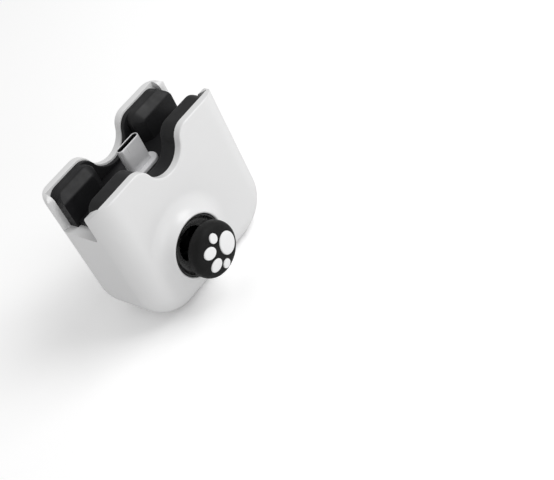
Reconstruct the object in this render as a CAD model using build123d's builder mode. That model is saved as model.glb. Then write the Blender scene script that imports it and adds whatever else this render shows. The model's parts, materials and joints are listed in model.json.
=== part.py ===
"""Clip-on thumbstick for a phone: a white eared block with a phone plug standing in its slot."""
import math
import os

from build123d import *

os.makedirs("parts", exist_ok=True)

# Casing, with its flat front face looking along -Y
width = 52.0
height = 47.0
depth = 26.0
wall = 2.2
front_rounding = 6.5
back_rounding = 6.7
bottom_corner = 12.6
parting_to_back = 6.8

# Ears and the round notch between them
ear_corner = 3.5
notch_depth = 8.1
notch_radius = 7.0
shoulder_radius = 4.7

# Slot for the phone's edge
slot_wall = 2.4
slot_depth = 11.2
slot_roof = 2.0
slot_corner = 1.2
end_lip_depth = 7.0
end_lip_wall = 2.5
end_lip_drop = 2.4
back_lip_depth = 2.6
back_lip_wall = 2.8
back_lip_drop = 1.6
back_lip_rounding = 2.0

# Silicone lining
front_pad_thickness = 5.8
back_sheet_thickness = 1.2
back_block_thickness = 4.6
back_block_inner = 8.6
back_block_chamfer = 2.4
floor_pad_thickness = 1.3
pad_drop = 0.7
floor_pad_end_gap = 3.8
pad_edge_rounding = 0.6

# Phone plug and its collar
plug_width = 8.25
plug_thickness = 2.4
plug_shell_wall = 0.3
plug_drop = 0.4
mouth_width = 6.7
mouth_gap = 0.9
mouth_depth = 6.0
contact_count = 12
contact_pitch = 0.5
contact_width = 0.26
contact_thickness = 0.12
contact_length = 3.6
contact_setback = 1.2
insert_setback = 0.25
collar_length = 12.0
collar_width = 5.6
collar_height = 2.3
collar_rounding = 0.5
plug_clearance = 0.05
floor_hole_clearance = 0.3

# Thumbstick place and mound
stick_x = -6.1
stick_z = 17.4
stick_hole_radius = 9.0
mound_height = 3.5
mound_lip = 0.7
mound_radius = 15.0
mound_root = 2.6
lip_rounding = 0.3

# Dish in the mound
dish_clearance = 0.2
dish_drop = 0.3
dish_lip = 0.5
dish_opening_radius = 5.4
dish_opening_depth = 2.7
dish_floor_thickness = 1.7
dish_flange_radius = 10.9
dish_flange_thickness = 1.2
dish_seat_depth = 3.1

# Cap and paw print
cap_radius = 8.1
cap_gap = 2.8
cap_thickness = 4.9
cap_crown = 0.9
cap_top_rounding = 2.0
cap_bottom_rounding = 1.2
cap_hollow_radius = 6.2
cap_hollow_depth = 0.9
stem_radius = 2.6
stem_length = 1.7
post_fit = 0.05
post_socket_depth = 4.6
pad_proud = 0.35
pocket_depth = 1.2
palm_offset = 3.3
palm_radial = 3.0
palm_across = 3.6
inner_toe_reach = 3.1
inner_toe_side = 2.35
inner_toe_long = 2.1
inner_toe_wide = 1.8
outer_toe_reach = -0.1
outer_toe_side = 4.9
outer_toe_long = 1.5
outer_toe_wide = 1.35

# Stick module
pivot_depth = 6.4
frame_side = 14.0
frame_metal = 0.5
frame_front_reach = 3.4
frame_window_radius = 5.8
trunnion_radius = 1.0
trunnion_fit = 0.05
yoke_half_width = 2.8
yoke_half_thickness = 1.7
yoke_half_length = 4.0
yoke_slot_half_length = 2.9
post_radius = 1.6
post_slot_gap = 0.15
tail_radius = 2.5
pin_radius = 0.5
pin_fit = 0.05
pin_half_length = 2.6
rocker_inner_radius = 4.1
rocker_thickness = 1.0
rocker_half_width = 2.8
rocker_leg_reach = 1.2
rocker_slot_half_length = 3.2
rocker_slot_gap = 0.2
base_thickness = 1.3
base_boss_radius = 1.5
base_boss_height = 0.6
plate_radius = 3.0
plate_thickness = 0.4
plate_gap = 0.4
spring_radius = 2.2
spring_wire = 0.35
spring_turns = 2.5
sensor_side = 9.0
sensor_front_gap = 0.7
sensor_thickness = 3.0
sensor_well_radius = 2.5
sensor_well_depth = 1.6
wiper_radius = 2.1
wiper_thickness = 1.0
wiper_gap = 0.2

# Circuit board
board_thickness = 1.2
board_margin = 1.4
board_top_gap = 0.4
chip_side = 6.0
chip_height = 0.9
chip_x = -8.0
chip_z = 14.0
power_chip_side = 3.0
power_chip_height = 0.8
power_chip_x = 9.0
power_chip_z = 12.0
capacitor_count = 6
capacitor_pitch = 1.6
capacitor_length = 1.0
capacitor_width = 0.5
capacitor_x = -2.0
capacitor_z = 22.0

# Charging socket in the right side
socket_drop = 11.7
socket_width = 8.94
socket_thickness = 3.26
socket_metal = 0.3
socket_length = 7.0
socket_back_fill = 1.5
tongue_width = 6.7
tongue_thickness = 0.7
tongue_setback = 1.0
socket_seat = 0.05
bezel_half_length = 6.0
bezel_half_flat = 3.6
bezel_half_width = 2.9
bezel_sunk = 0.2
bezel_wall = 0.5
bezel_recess = 1.2
bezel_flange = 0.8
bezel_flange_thickness = 1.0
bezel_proud_socket = 0.2
bezel_fit = 0.05

# Screws and bosses
screw_radius = 1.0
screw_fit = 0.02
screw_hole_gap = 0.15
screw_bite = 5.4
screw_head_radius = 1.9
screw_head_height = 1.3
screw_slot_depth = 0.6
screw_slot_width = 0.5
well_radius = 2.2
well_floor = 2.0
front_boss_radius = 2.4
back_boss_radius = 3.0
lower_screw_inset = 8.4
lower_screw_z = 8.0
upper_screw_inset = 7.5
upper_screw_drop = 3.3

# Places that follow from the sizes
top = height
cap_underside = mound_height + cap_gap
cap_top = cap_underside + cap_thickness
stick_reach = cap_top + pad_proud
front = (stick_reach - depth) / 2
back = front + depth
parting = back - parting_to_back
slot_floor = top - slot_depth
slot_front = front + slot_wall
slot_back = back - slot_wall
plug_y = front + depth / 2
front_pad_face = slot_front + front_pad_thickness
back_sheet_face = slot_back - back_sheet_thickness
back_block_face = back_sheet_face - back_block_thickness
floor_pad_top = slot_floor + floor_pad_thickness
pad_top = top - pad_drop
cavity_top = slot_floor - slot_roof
board_front = plug_y - board_thickness / 2
board_back = board_front + board_thickness
board_top = cavity_top - board_top_gap
plug_tip = top - plug_drop
plug_base = board_top
pivot_y = board_front - pivot_depth
frame_front = pivot_y - frame_front_reach
frame_half = frame_side / 2
notch_rise = notch_depth - notch_radius - shoulder_radius
notch_half = math.sqrt((notch_radius + shoulder_radius) ** 2 - notch_rise**2)
notch_slope = math.degrees(math.atan2(notch_rise, notch_half))
through = 4 * (width + height)
stick_axis = Axis((stick_x, 0, stick_z), (0, 1, 0))
stick_plane = Plane((stick_x, 0, stick_z))
socket_y = board_back + socket_seat + socket_thickness / 2
socket_z = cavity_top - socket_drop
socket_mouth = width / 2 - bezel_sunk - bezel_recess + bezel_proud_socket
socket_end = socket_mouth - socket_length
lower_screw_x = width / 2 - lower_screw_inset
upper_screw_x = width / 2 - upper_screw_inset
upper_screw_z = cavity_top - upper_screw_drop
screw_places = [
    (-lower_screw_x, lower_screw_z),
    (lower_screw_x, lower_screw_z),
    (-upper_screw_x, upper_screw_z),
    (upper_screw_x, upper_screw_z),
]


def across(y):
    """Plane across the block at depth y, seen from the front: its x is X and its y is Z."""
    return Plane.XZ.offset(-y)


def eared_face(half, crest, base):
    """Sketch of a face with two round ears and the notch between them."""
    bottom_centre = crest - notch_depth + notch_radius
    shoulder_centre = crest - shoulder_radius
    with BuildSketch() as face:
        with BuildLine():
            CenterArc((0, bottom_centre), notch_radius, 180 - notch_slope, 180 + 2 * notch_slope)
            CenterArc((notch_half, shoulder_centre), shoulder_radius, 180 + notch_slope, -90 - notch_slope)
            Line((notch_half, crest), (half - ear_corner, crest))
            CenterArc((half - ear_corner, crest - ear_corner), ear_corner, 0, 90)
            Polyline((half, crest - ear_corner), (half, base), (-half, base), (-half, crest - ear_corner))
            CenterArc((ear_corner - half, crest - ear_corner), ear_corner, 90, 90)
            Line((ear_corner - half, crest), (-notch_half, crest))
            CenterArc((-notch_half, shoulder_centre), shoulder_radius, 90, -90 - notch_slope)
        make_face()
    return face.sketch


def draw_bezel(grow):
    """Draw, in the open sketch, the long hexagon round the charging socket, grown by an even border."""
    flat = bezel_half_flat + grow / 2
    side = bezel_half_width + grow
    tip = bezel_half_length + grow
    Polygon((0, tip), (-side, flat), (-side, -flat), (0, -tip), (side, -flat), (side, flat))


shell_outline = eared_face(width / 2, top, 0)
front_pad_half = width / 2 - end_lip_wall
back_pad_half = width / 2 - back_lip_wall
floor_pad_half = width / 2 - floor_pad_end_gap
front_pad_outline = eared_face(front_pad_half, pad_top, slot_floor)
back_pad_outline = eared_face(back_pad_half, pad_top, floor_pad_top)

# Outer form that the two shells share
with BuildPart() as block:
    with BuildSketch(across(front)) as block_face:
        with Locations((0, height / 2)):
            Rectangle(width, height)
        fillet(block_face.vertices().group_by(Axis.Y)[0], bottom_corner)
    extrude(amount=-depth)
    fillet(block.edges().group_by(Axis.Y)[0].sort_by(Axis.Z)[:-1], front_rounding)
    fillet(block.edges().group_by(Axis.Y)[-1].sort_by(Axis.Z)[:-1], back_rounding)
    with BuildSketch(across(front)):
        add(shell_outline)
    extrude(amount=-depth, mode=Mode.INTERSECT)
    with BuildSketch(Plane.YZ) as slot_end:
        with BuildLine():
            lip_face = front + end_lip_depth
            back_lip_face = slot_back - back_lip_depth
            Polyline((slot_front, top), (lip_face, top - end_lip_drop), (lip_face, slot_floor))
            Line((lip_face, slot_floor), (back_lip_face, slot_floor))
            Polyline((back_lip_face, slot_floor), (back_lip_face, top - back_lip_drop), (slot_back, top))
            Polyline((slot_back, top), (slot_back, through), (slot_front, through), (slot_front, top))
        make_face()
        fillet(slot_end.vertices().group_by(Axis.Y)[0], slot_corner)
    extrude(amount=through, both=True, mode=Mode.SUBTRACT)
    with BuildSketch(Plane.XY.offset(slot_floor)):
        edge_x = width / 2 - back_lip_rounding / 2
        edge_y = back_lip_face + back_lip_rounding / 2
        with Locations((-edge_x, edge_y), (edge_x, edge_y)):
            Rectangle(back_lip_rounding, back_lip_rounding)
        round_x = width / 2 - back_lip_rounding
        round_y = back_lip_face + back_lip_rounding
        with Locations((-round_x, round_y), (round_x, round_y)):
            Circle(back_lip_rounding, mode=Mode.SUBTRACT)
    extrude(amount=height, mode=Mode.SUBTRACT)
    with BuildSketch(Plane.XY.offset(slot_floor)):
        with Locations((0, (slot_front + back_lip_face) / 2)):
            Rectangle(width - 2 * end_lip_wall, back_lip_face - slot_front)
        with Locations((0, (back_lip_face + slot_back) / 2)):
            Rectangle(width - 2 * back_lip_wall, slot_back - back_lip_face)
    extrude(amount=height, mode=Mode.SUBTRACT)

# Hollow that the two shells close round the works
with BuildPart() as cavity:
    with BuildSketch(across(front + wall)) as cavity_face:
        with Locations((0, (wall + cavity_top) / 2)):
            Rectangle(width - 2 * wall, cavity_top - wall)
        fillet(cavity_face.vertices().group_by(Axis.Y)[0], bottom_corner - wall)
    extrude(amount=2 * wall - depth)
    fillet(cavity.edges().group_by(Axis.Y)[0].sort_by(Axis.Z)[:-1], front_rounding - wall)
    fillet(cavity.edges().group_by(Axis.Y)[-1].sort_by(Axis.Z)[:-1], back_rounding - wall)

with BuildPart() as front_shell:
    add(block.part)
    split(bisect_by=across(parting), keep=Keep.TOP)
    with BuildSketch(stick_plane):
        with BuildLine():
            lip_edge = (stick_hole_radius + mound_lip, front - mound_height)
            run = mound_radius - lip_edge[0]
            flare = (run**2 + mound_height**2) / (2 * mound_height)
            swing = math.degrees(math.asin(run / flare))
            Polyline((0, front + mound_root), (0, front - mound_height), lip_edge)
            CenterArc((mound_radius, front - flare), flare, 90 + swing, -swing)
            Polyline((mound_radius, front), (mound_radius, front + mound_root), (0, front + mound_root))
        make_face()
    revolve(axis=stick_axis)
    with BuildSketch(across(front - mound_height)):
        with Locations((stick_x, stick_z)):
            Circle(stick_hole_radius)
    extrude(amount=-mound_height - wall, mode=Mode.SUBTRACT)
    mouth_edges = front_shell.edges().filter_by(GeomType.CIRCLE).group_by(Axis.Y)[0]
    fillet(mouth_edges, lip_rounding)
    add(cavity.part, mode=Mode.SUBTRACT)
    with BuildSketch(across(front - mound_height + dish_seat_depth)):
        with Locations((stick_x, stick_z)):
            Circle(dish_flange_radius + dish_clearance)
    extrude(amount=dish_seat_depth - mound_height - wall, mode=Mode.SUBTRACT)
    with BuildSketch(Plane.XY.offset(cavity_top)):
        with Locations((0, plug_y)):
            hole_growth = 2 * floor_hole_clearance
            SlotOverall(plug_width + hole_growth, plug_thickness + hole_growth)
    extrude(amount=slot_roof, mode=Mode.SUBTRACT)
    with BuildSketch(Plane.YZ.offset(width / 2 - wall)):
        with Locations((socket_y, socket_z)):
            draw_bezel(bezel_fit)
    extrude(amount=wall, mode=Mode.SUBTRACT)
    with BuildSketch(across(board_front)):
        with Locations(screw_places):
            Circle(front_boss_radius)
    extrude(amount=board_front - front - wall / 2)
    with BuildSketch(across(board_front)):
        with Locations(screw_places):
            Circle(screw_radius + screw_fit)
    extrude(amount=screw_bite, mode=Mode.SUBTRACT)
front_shell.part.label = "front_shell"
export_step(front_shell.part, "parts/front_shell.step")

with BuildPart() as back_shell:
    add(block.part)
    add(cavity.part, mode=Mode.SUBTRACT)
    split(bisect_by=across(parting), keep=Keep.BOTTOM)
    with BuildSketch(Plane.YZ.offset(width / 2 - wall)):
        with Locations((socket_y, socket_z)):
            draw_bezel(bezel_fit)
    extrude(amount=wall, mode=Mode.SUBTRACT)
    with BuildSketch(across(back - wall / 2)):
        with Locations(screw_places):
            Circle(back_boss_radius)
    extrude(amount=back - wall / 2 - board_back)
    with BuildSketch(across(board_back)):
        with Locations(screw_places):
            Circle(screw_radius + screw_hole_gap)
    extrude(amount=-well_floor, mode=Mode.SUBTRACT)
    with BuildSketch(across(board_back + well_floor)):
        with Locations(screw_places):
            Circle(well_radius)
    extrude(amount=-depth, mode=Mode.SUBTRACT)
back_shell.part.label = "back_shell"
export_step(back_shell.part, "parts/back_shell.step")

with BuildPart() as front_pad:
    with BuildSketch(across(slot_front)):
        add(front_pad_outline)
    extrude(amount=-front_pad_thickness)
    upper_rim = front_pad.edges().group_by(Axis.Y)[-1].sort_by(Axis.Z)[1:]
    fillet(upper_rim, pad_edge_rounding)
front_pad.part.label = "front_pad"
export_step(front_pad.part, "parts/front_pad.step")

block_outline = eared_face(back_pad_half + back_block_chamfer, pad_top, floor_pad_top - back_block_chamfer)
foot_length = back_pad_half - floor_pad_half
foot_x = floor_pad_half + foot_length / 2
with BuildPart() as back_pad:
    with BuildSketch(across(back_sheet_face)):
        add(block_outline)
        Rectangle(2 * back_block_inner, through, mode=Mode.SUBTRACT)
    extrude(amount=back_block_thickness - back_block_chamfer)
    with BuildSketch(across(back_block_face + back_block_chamfer)):
        add(block_outline)
        Rectangle(2 * back_block_inner, through, mode=Mode.SUBTRACT)
    extrude(amount=back_block_chamfer, taper=45)
    with BuildSketch(across(back_block_face)):
        add(back_pad_outline)
    extrude(amount=-back_block_thickness, mode=Mode.INTERSECT)
    with BuildSketch(across(back_sheet_face)):
        add(back_pad_outline)
    extrude(amount=-back_sheet_thickness)
    with BuildSketch(Plane.XY.offset(slot_floor)):
        with Locations((-foot_x, (back_block_face + slot_back) / 2), (foot_x, (back_block_face + slot_back) / 2)):
            Rectangle(foot_length, slot_back - back_block_face)
    extrude(amount=floor_pad_thickness)
back_pad.part.label = "back_pad"
export_step(back_pad.part, "parts/back_pad.step")

with BuildPart() as floor_pad:
    with BuildSketch(Plane.XY.offset(slot_floor)):
        with Locations((0, (front_pad_face + slot_back) / 2)):
            Rectangle(2 * floor_pad_half, slot_back - front_pad_face)
        with Locations((0, plug_y)):
            SlotOverall(collar_length, collar_width, mode=Mode.SUBTRACT)
    extrude(amount=floor_pad_thickness)
floor_pad.part.label = "floor_pad"
export_step(floor_pad.part, "parts/floor_pad.step")

plug_inner_width = plug_width - 2 * plug_shell_wall
plug_inner_thickness = plug_thickness - 2 * plug_shell_wall
with BuildPart() as plug_shell:
    with BuildSketch(Plane.XY.offset(plug_base)):
        with Locations((0, plug_y)):
            SlotOverall(plug_width, plug_thickness)
            SlotOverall(plug_inner_width, plug_inner_thickness, mode=Mode.SUBTRACT)
    extrude(amount=plug_tip - plug_base)
plug_shell.part.label = "plug_shell"
export_step(plug_shell.part, "parts/plug_shell.step")

with BuildPart() as plug_insert:
    with BuildSketch(Plane.XY.offset(plug_base)):
        with Locations((0, plug_y)):
            SlotOverall(plug_inner_width, plug_inner_thickness)
    extrude(amount=plug_tip - insert_setback - plug_base)
    with BuildSketch(Plane.XY.offset(plug_tip - insert_setback)):
        with Locations((0, plug_y)):
            Rectangle(mouth_width, mouth_gap)
    extrude(amount=-mouth_depth, mode=Mode.SUBTRACT)
plug_insert.part.label = "plug_insert"
export_step(plug_insert.part, "parts/plug_insert.step")

with BuildPart() as plug_contacts:
    with BuildSketch(Plane.XY.offset(plug_tip - insert_setback - contact_setback)):
        for side in (-1, 1):
            with Locations((0, plug_y + side * (mouth_gap - contact_thickness) / 2)):
                with GridLocations(contact_pitch, 0, contact_count, 1):
                    Rectangle(contact_width, contact_thickness)
    extrude(amount=-contact_length)
plug_contacts.part.label = "plug_contacts"
export_step(plug_contacts.part, "parts/plug_contacts.step")

with BuildPart() as plug_collar:
    with BuildSketch(Plane.XY.offset(slot_floor)):
        with Locations((0, plug_y)):
            SlotOverall(collar_length, collar_width)
    extrude(amount=collar_height)
    fillet(plug_collar.edges().group_by(Axis.Z)[-1], collar_rounding)
    with BuildSketch(Plane.XY.offset(slot_floor)):
        with Locations((0, plug_y)):
            SlotOverall(plug_width + 2 * plug_clearance, plug_thickness + 2 * plug_clearance)
    extrude(amount=collar_height, mode=Mode.SUBTRACT)
plug_collar.part.label = "plug_collar"
export_step(plug_collar.part, "parts/plug_collar.step")

board_low = wall + board_margin
with BuildPart() as main_board:
    with BuildSketch(across(board_front)) as board_face:
        with Locations((0, (board_low + board_top) / 2)):
            Rectangle(width - 2 * wall - 2 * board_margin, board_top - board_low)
        fillet(board_face.vertices().group_by(Axis.Y)[0], bottom_corner - wall - board_margin)
        with Locations(screw_places):
            Circle(screw_radius + screw_hole_gap, mode=Mode.SUBTRACT)
    extrude(amount=-board_thickness)
main_board.part.label = "main_board"
export_step(main_board.part, "parts/main_board.step")

with BuildPart() as controller_chip:
    with BuildSketch(across(board_back)):
        with Locations((chip_x, chip_z)):
            Rectangle(chip_side, chip_side)
    extrude(amount=-chip_height)
controller_chip.part.label = "controller_chip"
export_step(controller_chip.part, "parts/controller_chip.step")

with BuildPart() as power_chip:
    with BuildSketch(across(board_back)):
        with Locations((power_chip_x, power_chip_z)):
            Rectangle(power_chip_side, power_chip_side)
    extrude(amount=-power_chip_height)
power_chip.part.label = "power_chip"
export_step(power_chip.part, "parts/power_chip.step")

with BuildPart() as board_capacitors:
    with BuildSketch(across(board_back)):
        with Locations((capacitor_x, capacitor_z)):
            with GridLocations(capacitor_pitch, 0, capacitor_count, 1):
                Rectangle(capacitor_width, capacitor_length)
    extrude(amount=-capacitor_width)
board_capacitors.part.label = "board_capacitors"
export_step(board_capacitors.part, "parts/board_capacitors.step")

dish_outer = stick_hole_radius - dish_clearance
dish_crest = front - mound_height + dish_drop
dish_bowl = front - mound_height + dish_opening_depth
dish_flange_front = front - mound_height + dish_seat_depth
with BuildPart() as stick_dish:
    with BuildSketch(stick_plane):
        with BuildLine():
            bowl_edge = (dish_outer - dish_lip, dish_crest)
            bowl_foot = (dish_opening_radius, dish_bowl)
            bowl_mid = ((bowl_edge[0] + bowl_foot[0]) / 2 + dish_lip, (dish_crest + dish_bowl) / 2 + dish_lip)
            ThreePointArc(bowl_foot, bowl_mid, bowl_edge)
            Polyline(
                bowl_edge,
                (dish_outer, dish_crest),
                (dish_outer, dish_flange_front),
                (dish_flange_radius, dish_flange_front),
                (dish_flange_radius, dish_flange_front + dish_flange_thickness),
                (dish_outer, dish_flange_front + dish_flange_thickness),
                (dish_opening_radius, dish_bowl + dish_floor_thickness),
                bowl_foot,
            )
        make_face()
    revolve(axis=stick_axis)
stick_dish.part.label = "stick_dish"
export_step(stick_dish.part, "parts/stick_dish.step")

with BuildPart() as stick_frame:
    with BuildSketch(across(frame_front)):
        with Locations((stick_x, stick_z)):
            Rectangle(frame_side, frame_side)
    extrude(amount=frame_front - board_front)
    with BuildSketch(across(frame_front + frame_metal)):
        with Locations((stick_x, stick_z)):
            Rectangle(frame_side - 2 * frame_metal, frame_side - 2 * frame_metal)
    extrude(amount=frame_front + frame_metal - board_front, mode=Mode.SUBTRACT)
    with BuildSketch(across(frame_front)):
        with Locations((stick_x, stick_z)):
            Circle(frame_window_radius)
    extrude(amount=-frame_metal, mode=Mode.SUBTRACT)
    with BuildSketch(Plane.YZ.offset(stick_x)):
        with Locations((pivot_y, stick_z)):
            Circle(trunnion_radius + trunnion_fit)
    extrude(amount=frame_half, both=True, mode=Mode.SUBTRACT)
    with BuildSketch(Plane.XY.offset(stick_z)):
        with Locations((stick_x, pivot_y)):
            Circle(trunnion_radius + trunnion_fit)
    extrude(amount=frame_half, both=True, mode=Mode.SUBTRACT)
stick_frame.part.label = "stick_frame"
export_step(stick_frame.part, "parts/stick_frame.step")

base_face = board_front - base_thickness
with BuildPart() as stick_base:
    with BuildSketch(across(base_face)):
        with Locations((stick_x, stick_z)):
            Rectangle(frame_side - 2 * frame_metal, frame_side - 2 * frame_metal)
    extrude(amount=-base_thickness)
    with BuildSketch(across(base_face)):
        with Locations((stick_x, stick_z)):
            Circle(base_boss_radius)
    extrude(amount=base_boss_height)
stick_base.part.label = "stick_base"
export_step(stick_base.part, "parts/stick_base.step")

wiper_start = frame_half + wiper_gap
wiper_end = wiper_start + wiper_thickness
with BuildPart() as tilt_yoke:
    with BuildSketch(across(pivot_y - yoke_half_thickness)):
        with Locations((stick_x, stick_z)):
            Rectangle(2 * yoke_half_width, 2 * yoke_half_length)
            slot_width = 2 * (post_radius + post_slot_gap)
            Rectangle(slot_width, 2 * yoke_slot_half_length, mode=Mode.SUBTRACT)
    extrude(amount=-2 * yoke_half_thickness)
    with BuildSketch(Plane.XY.offset(stick_z + yoke_half_length)):
        with Locations((stick_x, pivot_y)):
            Circle(trunnion_radius)
    extrude(amount=frame_half - yoke_half_length)
    with BuildSketch(Plane.XY.offset(stick_z - yoke_half_length)):
        with Locations((stick_x, pivot_y)):
            Circle(trunnion_radius)
    extrude(amount=yoke_half_length - wiper_end)
    with BuildSketch(Plane.YZ.offset(stick_x)):
        with Locations((pivot_y, stick_z)):
            Circle(pin_radius + pin_fit)
    extrude(amount=yoke_half_width, both=True, mode=Mode.SUBTRACT)
tilt_yoke.part.label = "tilt_yoke"
export_step(tilt_yoke.part, "parts/tilt_yoke.step")

rocker_outer_radius = rocker_inner_radius + rocker_thickness
with BuildPart() as cross_rocker:
    with BuildSketch(Plane.XY.offset(stick_z - rocker_half_width)):
        with Locations((stick_x, pivot_y)):
            Circle(rocker_outer_radius)
            Circle(rocker_inner_radius, mode=Mode.SUBTRACT)
        with Locations((stick_x, pivot_y + rocker_leg_reach + rocker_outer_radius)):
            Rectangle(through, 2 * rocker_outer_radius, mode=Mode.SUBTRACT)
    extrude(amount=2 * rocker_half_width)
    for side in (-1, 1):
        leg_face = rocker_inner_radius + rocker_thickness / 2
        trunnion_end = wiper_end if side > 0 else frame_half
        with BuildSketch(Plane.YZ.offset(stick_x + side * leg_face)):
            with Locations((pivot_y, stick_z)):
                Circle(trunnion_radius)
        extrude(amount=side * (trunnion_end - leg_face))
    with BuildSketch(across(pivot_y - rocker_outer_radius)):
        with Locations((stick_x, stick_z)):
            Rectangle(2 * rocker_slot_half_length, 2 * (post_radius + rocker_slot_gap))
    extrude(amount=-rocker_outer_radius, mode=Mode.SUBTRACT)
cross_rocker.part.label = "cross_rocker"
export_step(cross_rocker.part, "parts/cross_rocker.step")

post_tip = front - cap_underside + stem_length - post_socket_depth
tail_rise = math.sqrt(tail_radius**2 - post_radius**2)
with BuildPart() as stick_shaft:
    with BuildSketch(stick_plane):
        with BuildLine():
            tail_tilt = math.degrees(math.asin(post_radius / tail_radius))
            Polyline((0, pivot_y + tail_radius), (0, post_tip), (post_radius, post_tip))
            Line((post_radius, post_tip), (post_radius, pivot_y + tail_rise))
            CenterArc((0, pivot_y), tail_radius, 90 - tail_tilt, tail_tilt)
        make_face()
    revolve(axis=stick_axis)
    with BuildSketch(Plane.YZ.offset(stick_x)):
        with Locations((pivot_y, stick_z)):
            Circle(pin_radius)
    extrude(amount=post_radius, both=True, mode=Mode.SUBTRACT)
stick_shaft.part.label = "stick_shaft"
export_step(stick_shaft.part, "parts/stick_shaft.step")

with BuildPart() as stick_pin:
    with BuildSketch(Plane.YZ.offset(stick_x)):
        with Locations((pivot_y, stick_z)):
            Circle(pin_radius)
    extrude(amount=pin_half_length, both=True)
stick_pin.part.label = "stick_pin"
export_step(stick_pin.part, "parts/stick_pin.step")

plate_face = pivot_y + tail_radius + plate_gap
with BuildPart() as spring_plate:
    with BuildSketch(across(plate_face)):
        with Locations((stick_x, stick_z)):
            Circle(plate_radius)
    extrude(amount=-plate_thickness)
spring_plate.part.label = "spring_plate"
export_step(spring_plate.part, "parts/spring_plate.step")

spring_start = plate_face + plate_thickness + spring_wire / 2
spring_height = base_face - spring_wire / 2 - spring_start
with BuildPart() as stick_spring:
    with BuildLine() as coil:
        Helix(
            pitch=spring_height / spring_turns,
            height=spring_height,
            radius=spring_radius,
            center=(stick_x, spring_start, stick_z),
            direction=(0, 1, 0),
        )
    with BuildSketch(Plane(coil.line @ 0, z_dir=coil.line % 0)):
        Circle(spring_wire / 2)
    sweep()
stick_spring.part.label = "stick_spring"
export_step(stick_spring.part, "parts/stick_spring.step")

sensor_front = dish_flange_front + dish_flange_thickness + sensor_front_gap
sensor_depth = board_front - sensor_front
sensor_middle = (sensor_front + board_front) / 2
with BuildPart() as side_sensor:
    with BuildSketch(Plane.YZ.offset(stick_x + frame_half)):
        with Locations((sensor_middle, stick_z)):
            Rectangle(sensor_depth, sensor_side)
        with Locations((pivot_y, stick_z)):
            Circle(sensor_well_radius, mode=Mode.SUBTRACT)
    extrude(amount=sensor_well_depth)
    with BuildSketch(Plane.YZ.offset(stick_x + frame_half + sensor_well_depth)):
        with Locations((sensor_middle, stick_z)):
            Rectangle(sensor_depth, sensor_side)
    extrude(amount=sensor_thickness - sensor_well_depth)
side_sensor.part.label = "side_sensor"
export_step(side_sensor.part, "parts/side_sensor.step")

with BuildPart() as lower_sensor:
    with BuildSketch(Plane.XY.offset(stick_z - frame_half)):
        with Locations((stick_x, sensor_middle)):
            Rectangle(sensor_side, sensor_depth)
        with Locations((stick_x, pivot_y)):
            Circle(sensor_well_radius, mode=Mode.SUBTRACT)
    extrude(amount=-sensor_well_depth)
    with BuildSketch(Plane.XY.offset(stick_z - frame_half - sensor_well_depth)):
        with Locations((stick_x, sensor_middle)):
            Rectangle(sensor_side, sensor_depth)
    extrude(amount=sensor_well_depth - sensor_thickness)
lower_sensor.part.label = "lower_sensor"
export_step(lower_sensor.part, "parts/lower_sensor.step")

with BuildPart() as side_wiper:
    with BuildSketch(Plane.YZ.offset(stick_x + wiper_start)):
        with Locations((pivot_y, stick_z)):
            Circle(wiper_radius)
            Circle(trunnion_radius, mode=Mode.SUBTRACT)
    extrude(amount=wiper_thickness)
side_wiper.part.label = "side_wiper"
export_step(side_wiper.part, "parts/side_wiper.step")

with BuildPart() as lower_wiper:
    with BuildSketch(Plane.XY.offset(stick_z - wiper_start)):
        with Locations((stick_x, pivot_y)):
            Circle(wiper_radius)
            Circle(trunnion_radius, mode=Mode.SUBTRACT)
    extrude(amount=-wiper_thickness)
lower_wiper.part.label = "lower_wiper"
export_step(lower_wiper.part, "parts/lower_wiper.step")

pocket_face = front - cap_top + pocket_depth
dome_radius = (cap_radius**2 + cap_crown**2) / (2 * cap_crown)


def raised_dome():
    """Sketch of half of the space over the pocket floor, up to just above the cap's crown."""
    centre = front - cap_top + dome_radius
    radius = dome_radius + pad_proud
    swing = math.degrees(math.asin(cap_radius / radius))
    edge = centre - math.sqrt(radius**2 - cap_radius**2)
    with BuildSketch() as dome:
        with BuildLine():
            CenterArc((0, centre), radius, -90, swing)
            Polyline((cap_radius, edge), (cap_radius, pocket_face), (0, pocket_face), (0, centre - radius))
        make_face()
    return dome.sketch


def draw_palm():
    """Draw the big pad of the paw print in the open sketch."""
    with Locations((stick_x + palm_offset, stick_z)):
        Ellipse(palm_radial, palm_across)


def draw_toes():
    """Draw the four toe pads of the paw print in the open sketch."""
    for side in (-1, 1):
        inner_turn = -side * math.degrees(math.atan2(inner_toe_side, inner_toe_reach)) / 2
        with Locations((stick_x - inner_toe_reach, stick_z + side * inner_toe_side)):
            Ellipse(inner_toe_long, inner_toe_wide, rotation=inner_turn)
        with Locations((stick_x - outer_toe_reach, stick_z + side * outer_toe_side)):
            Ellipse(outer_toe_wide, outer_toe_long)


dome_profile = raised_dome()

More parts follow.
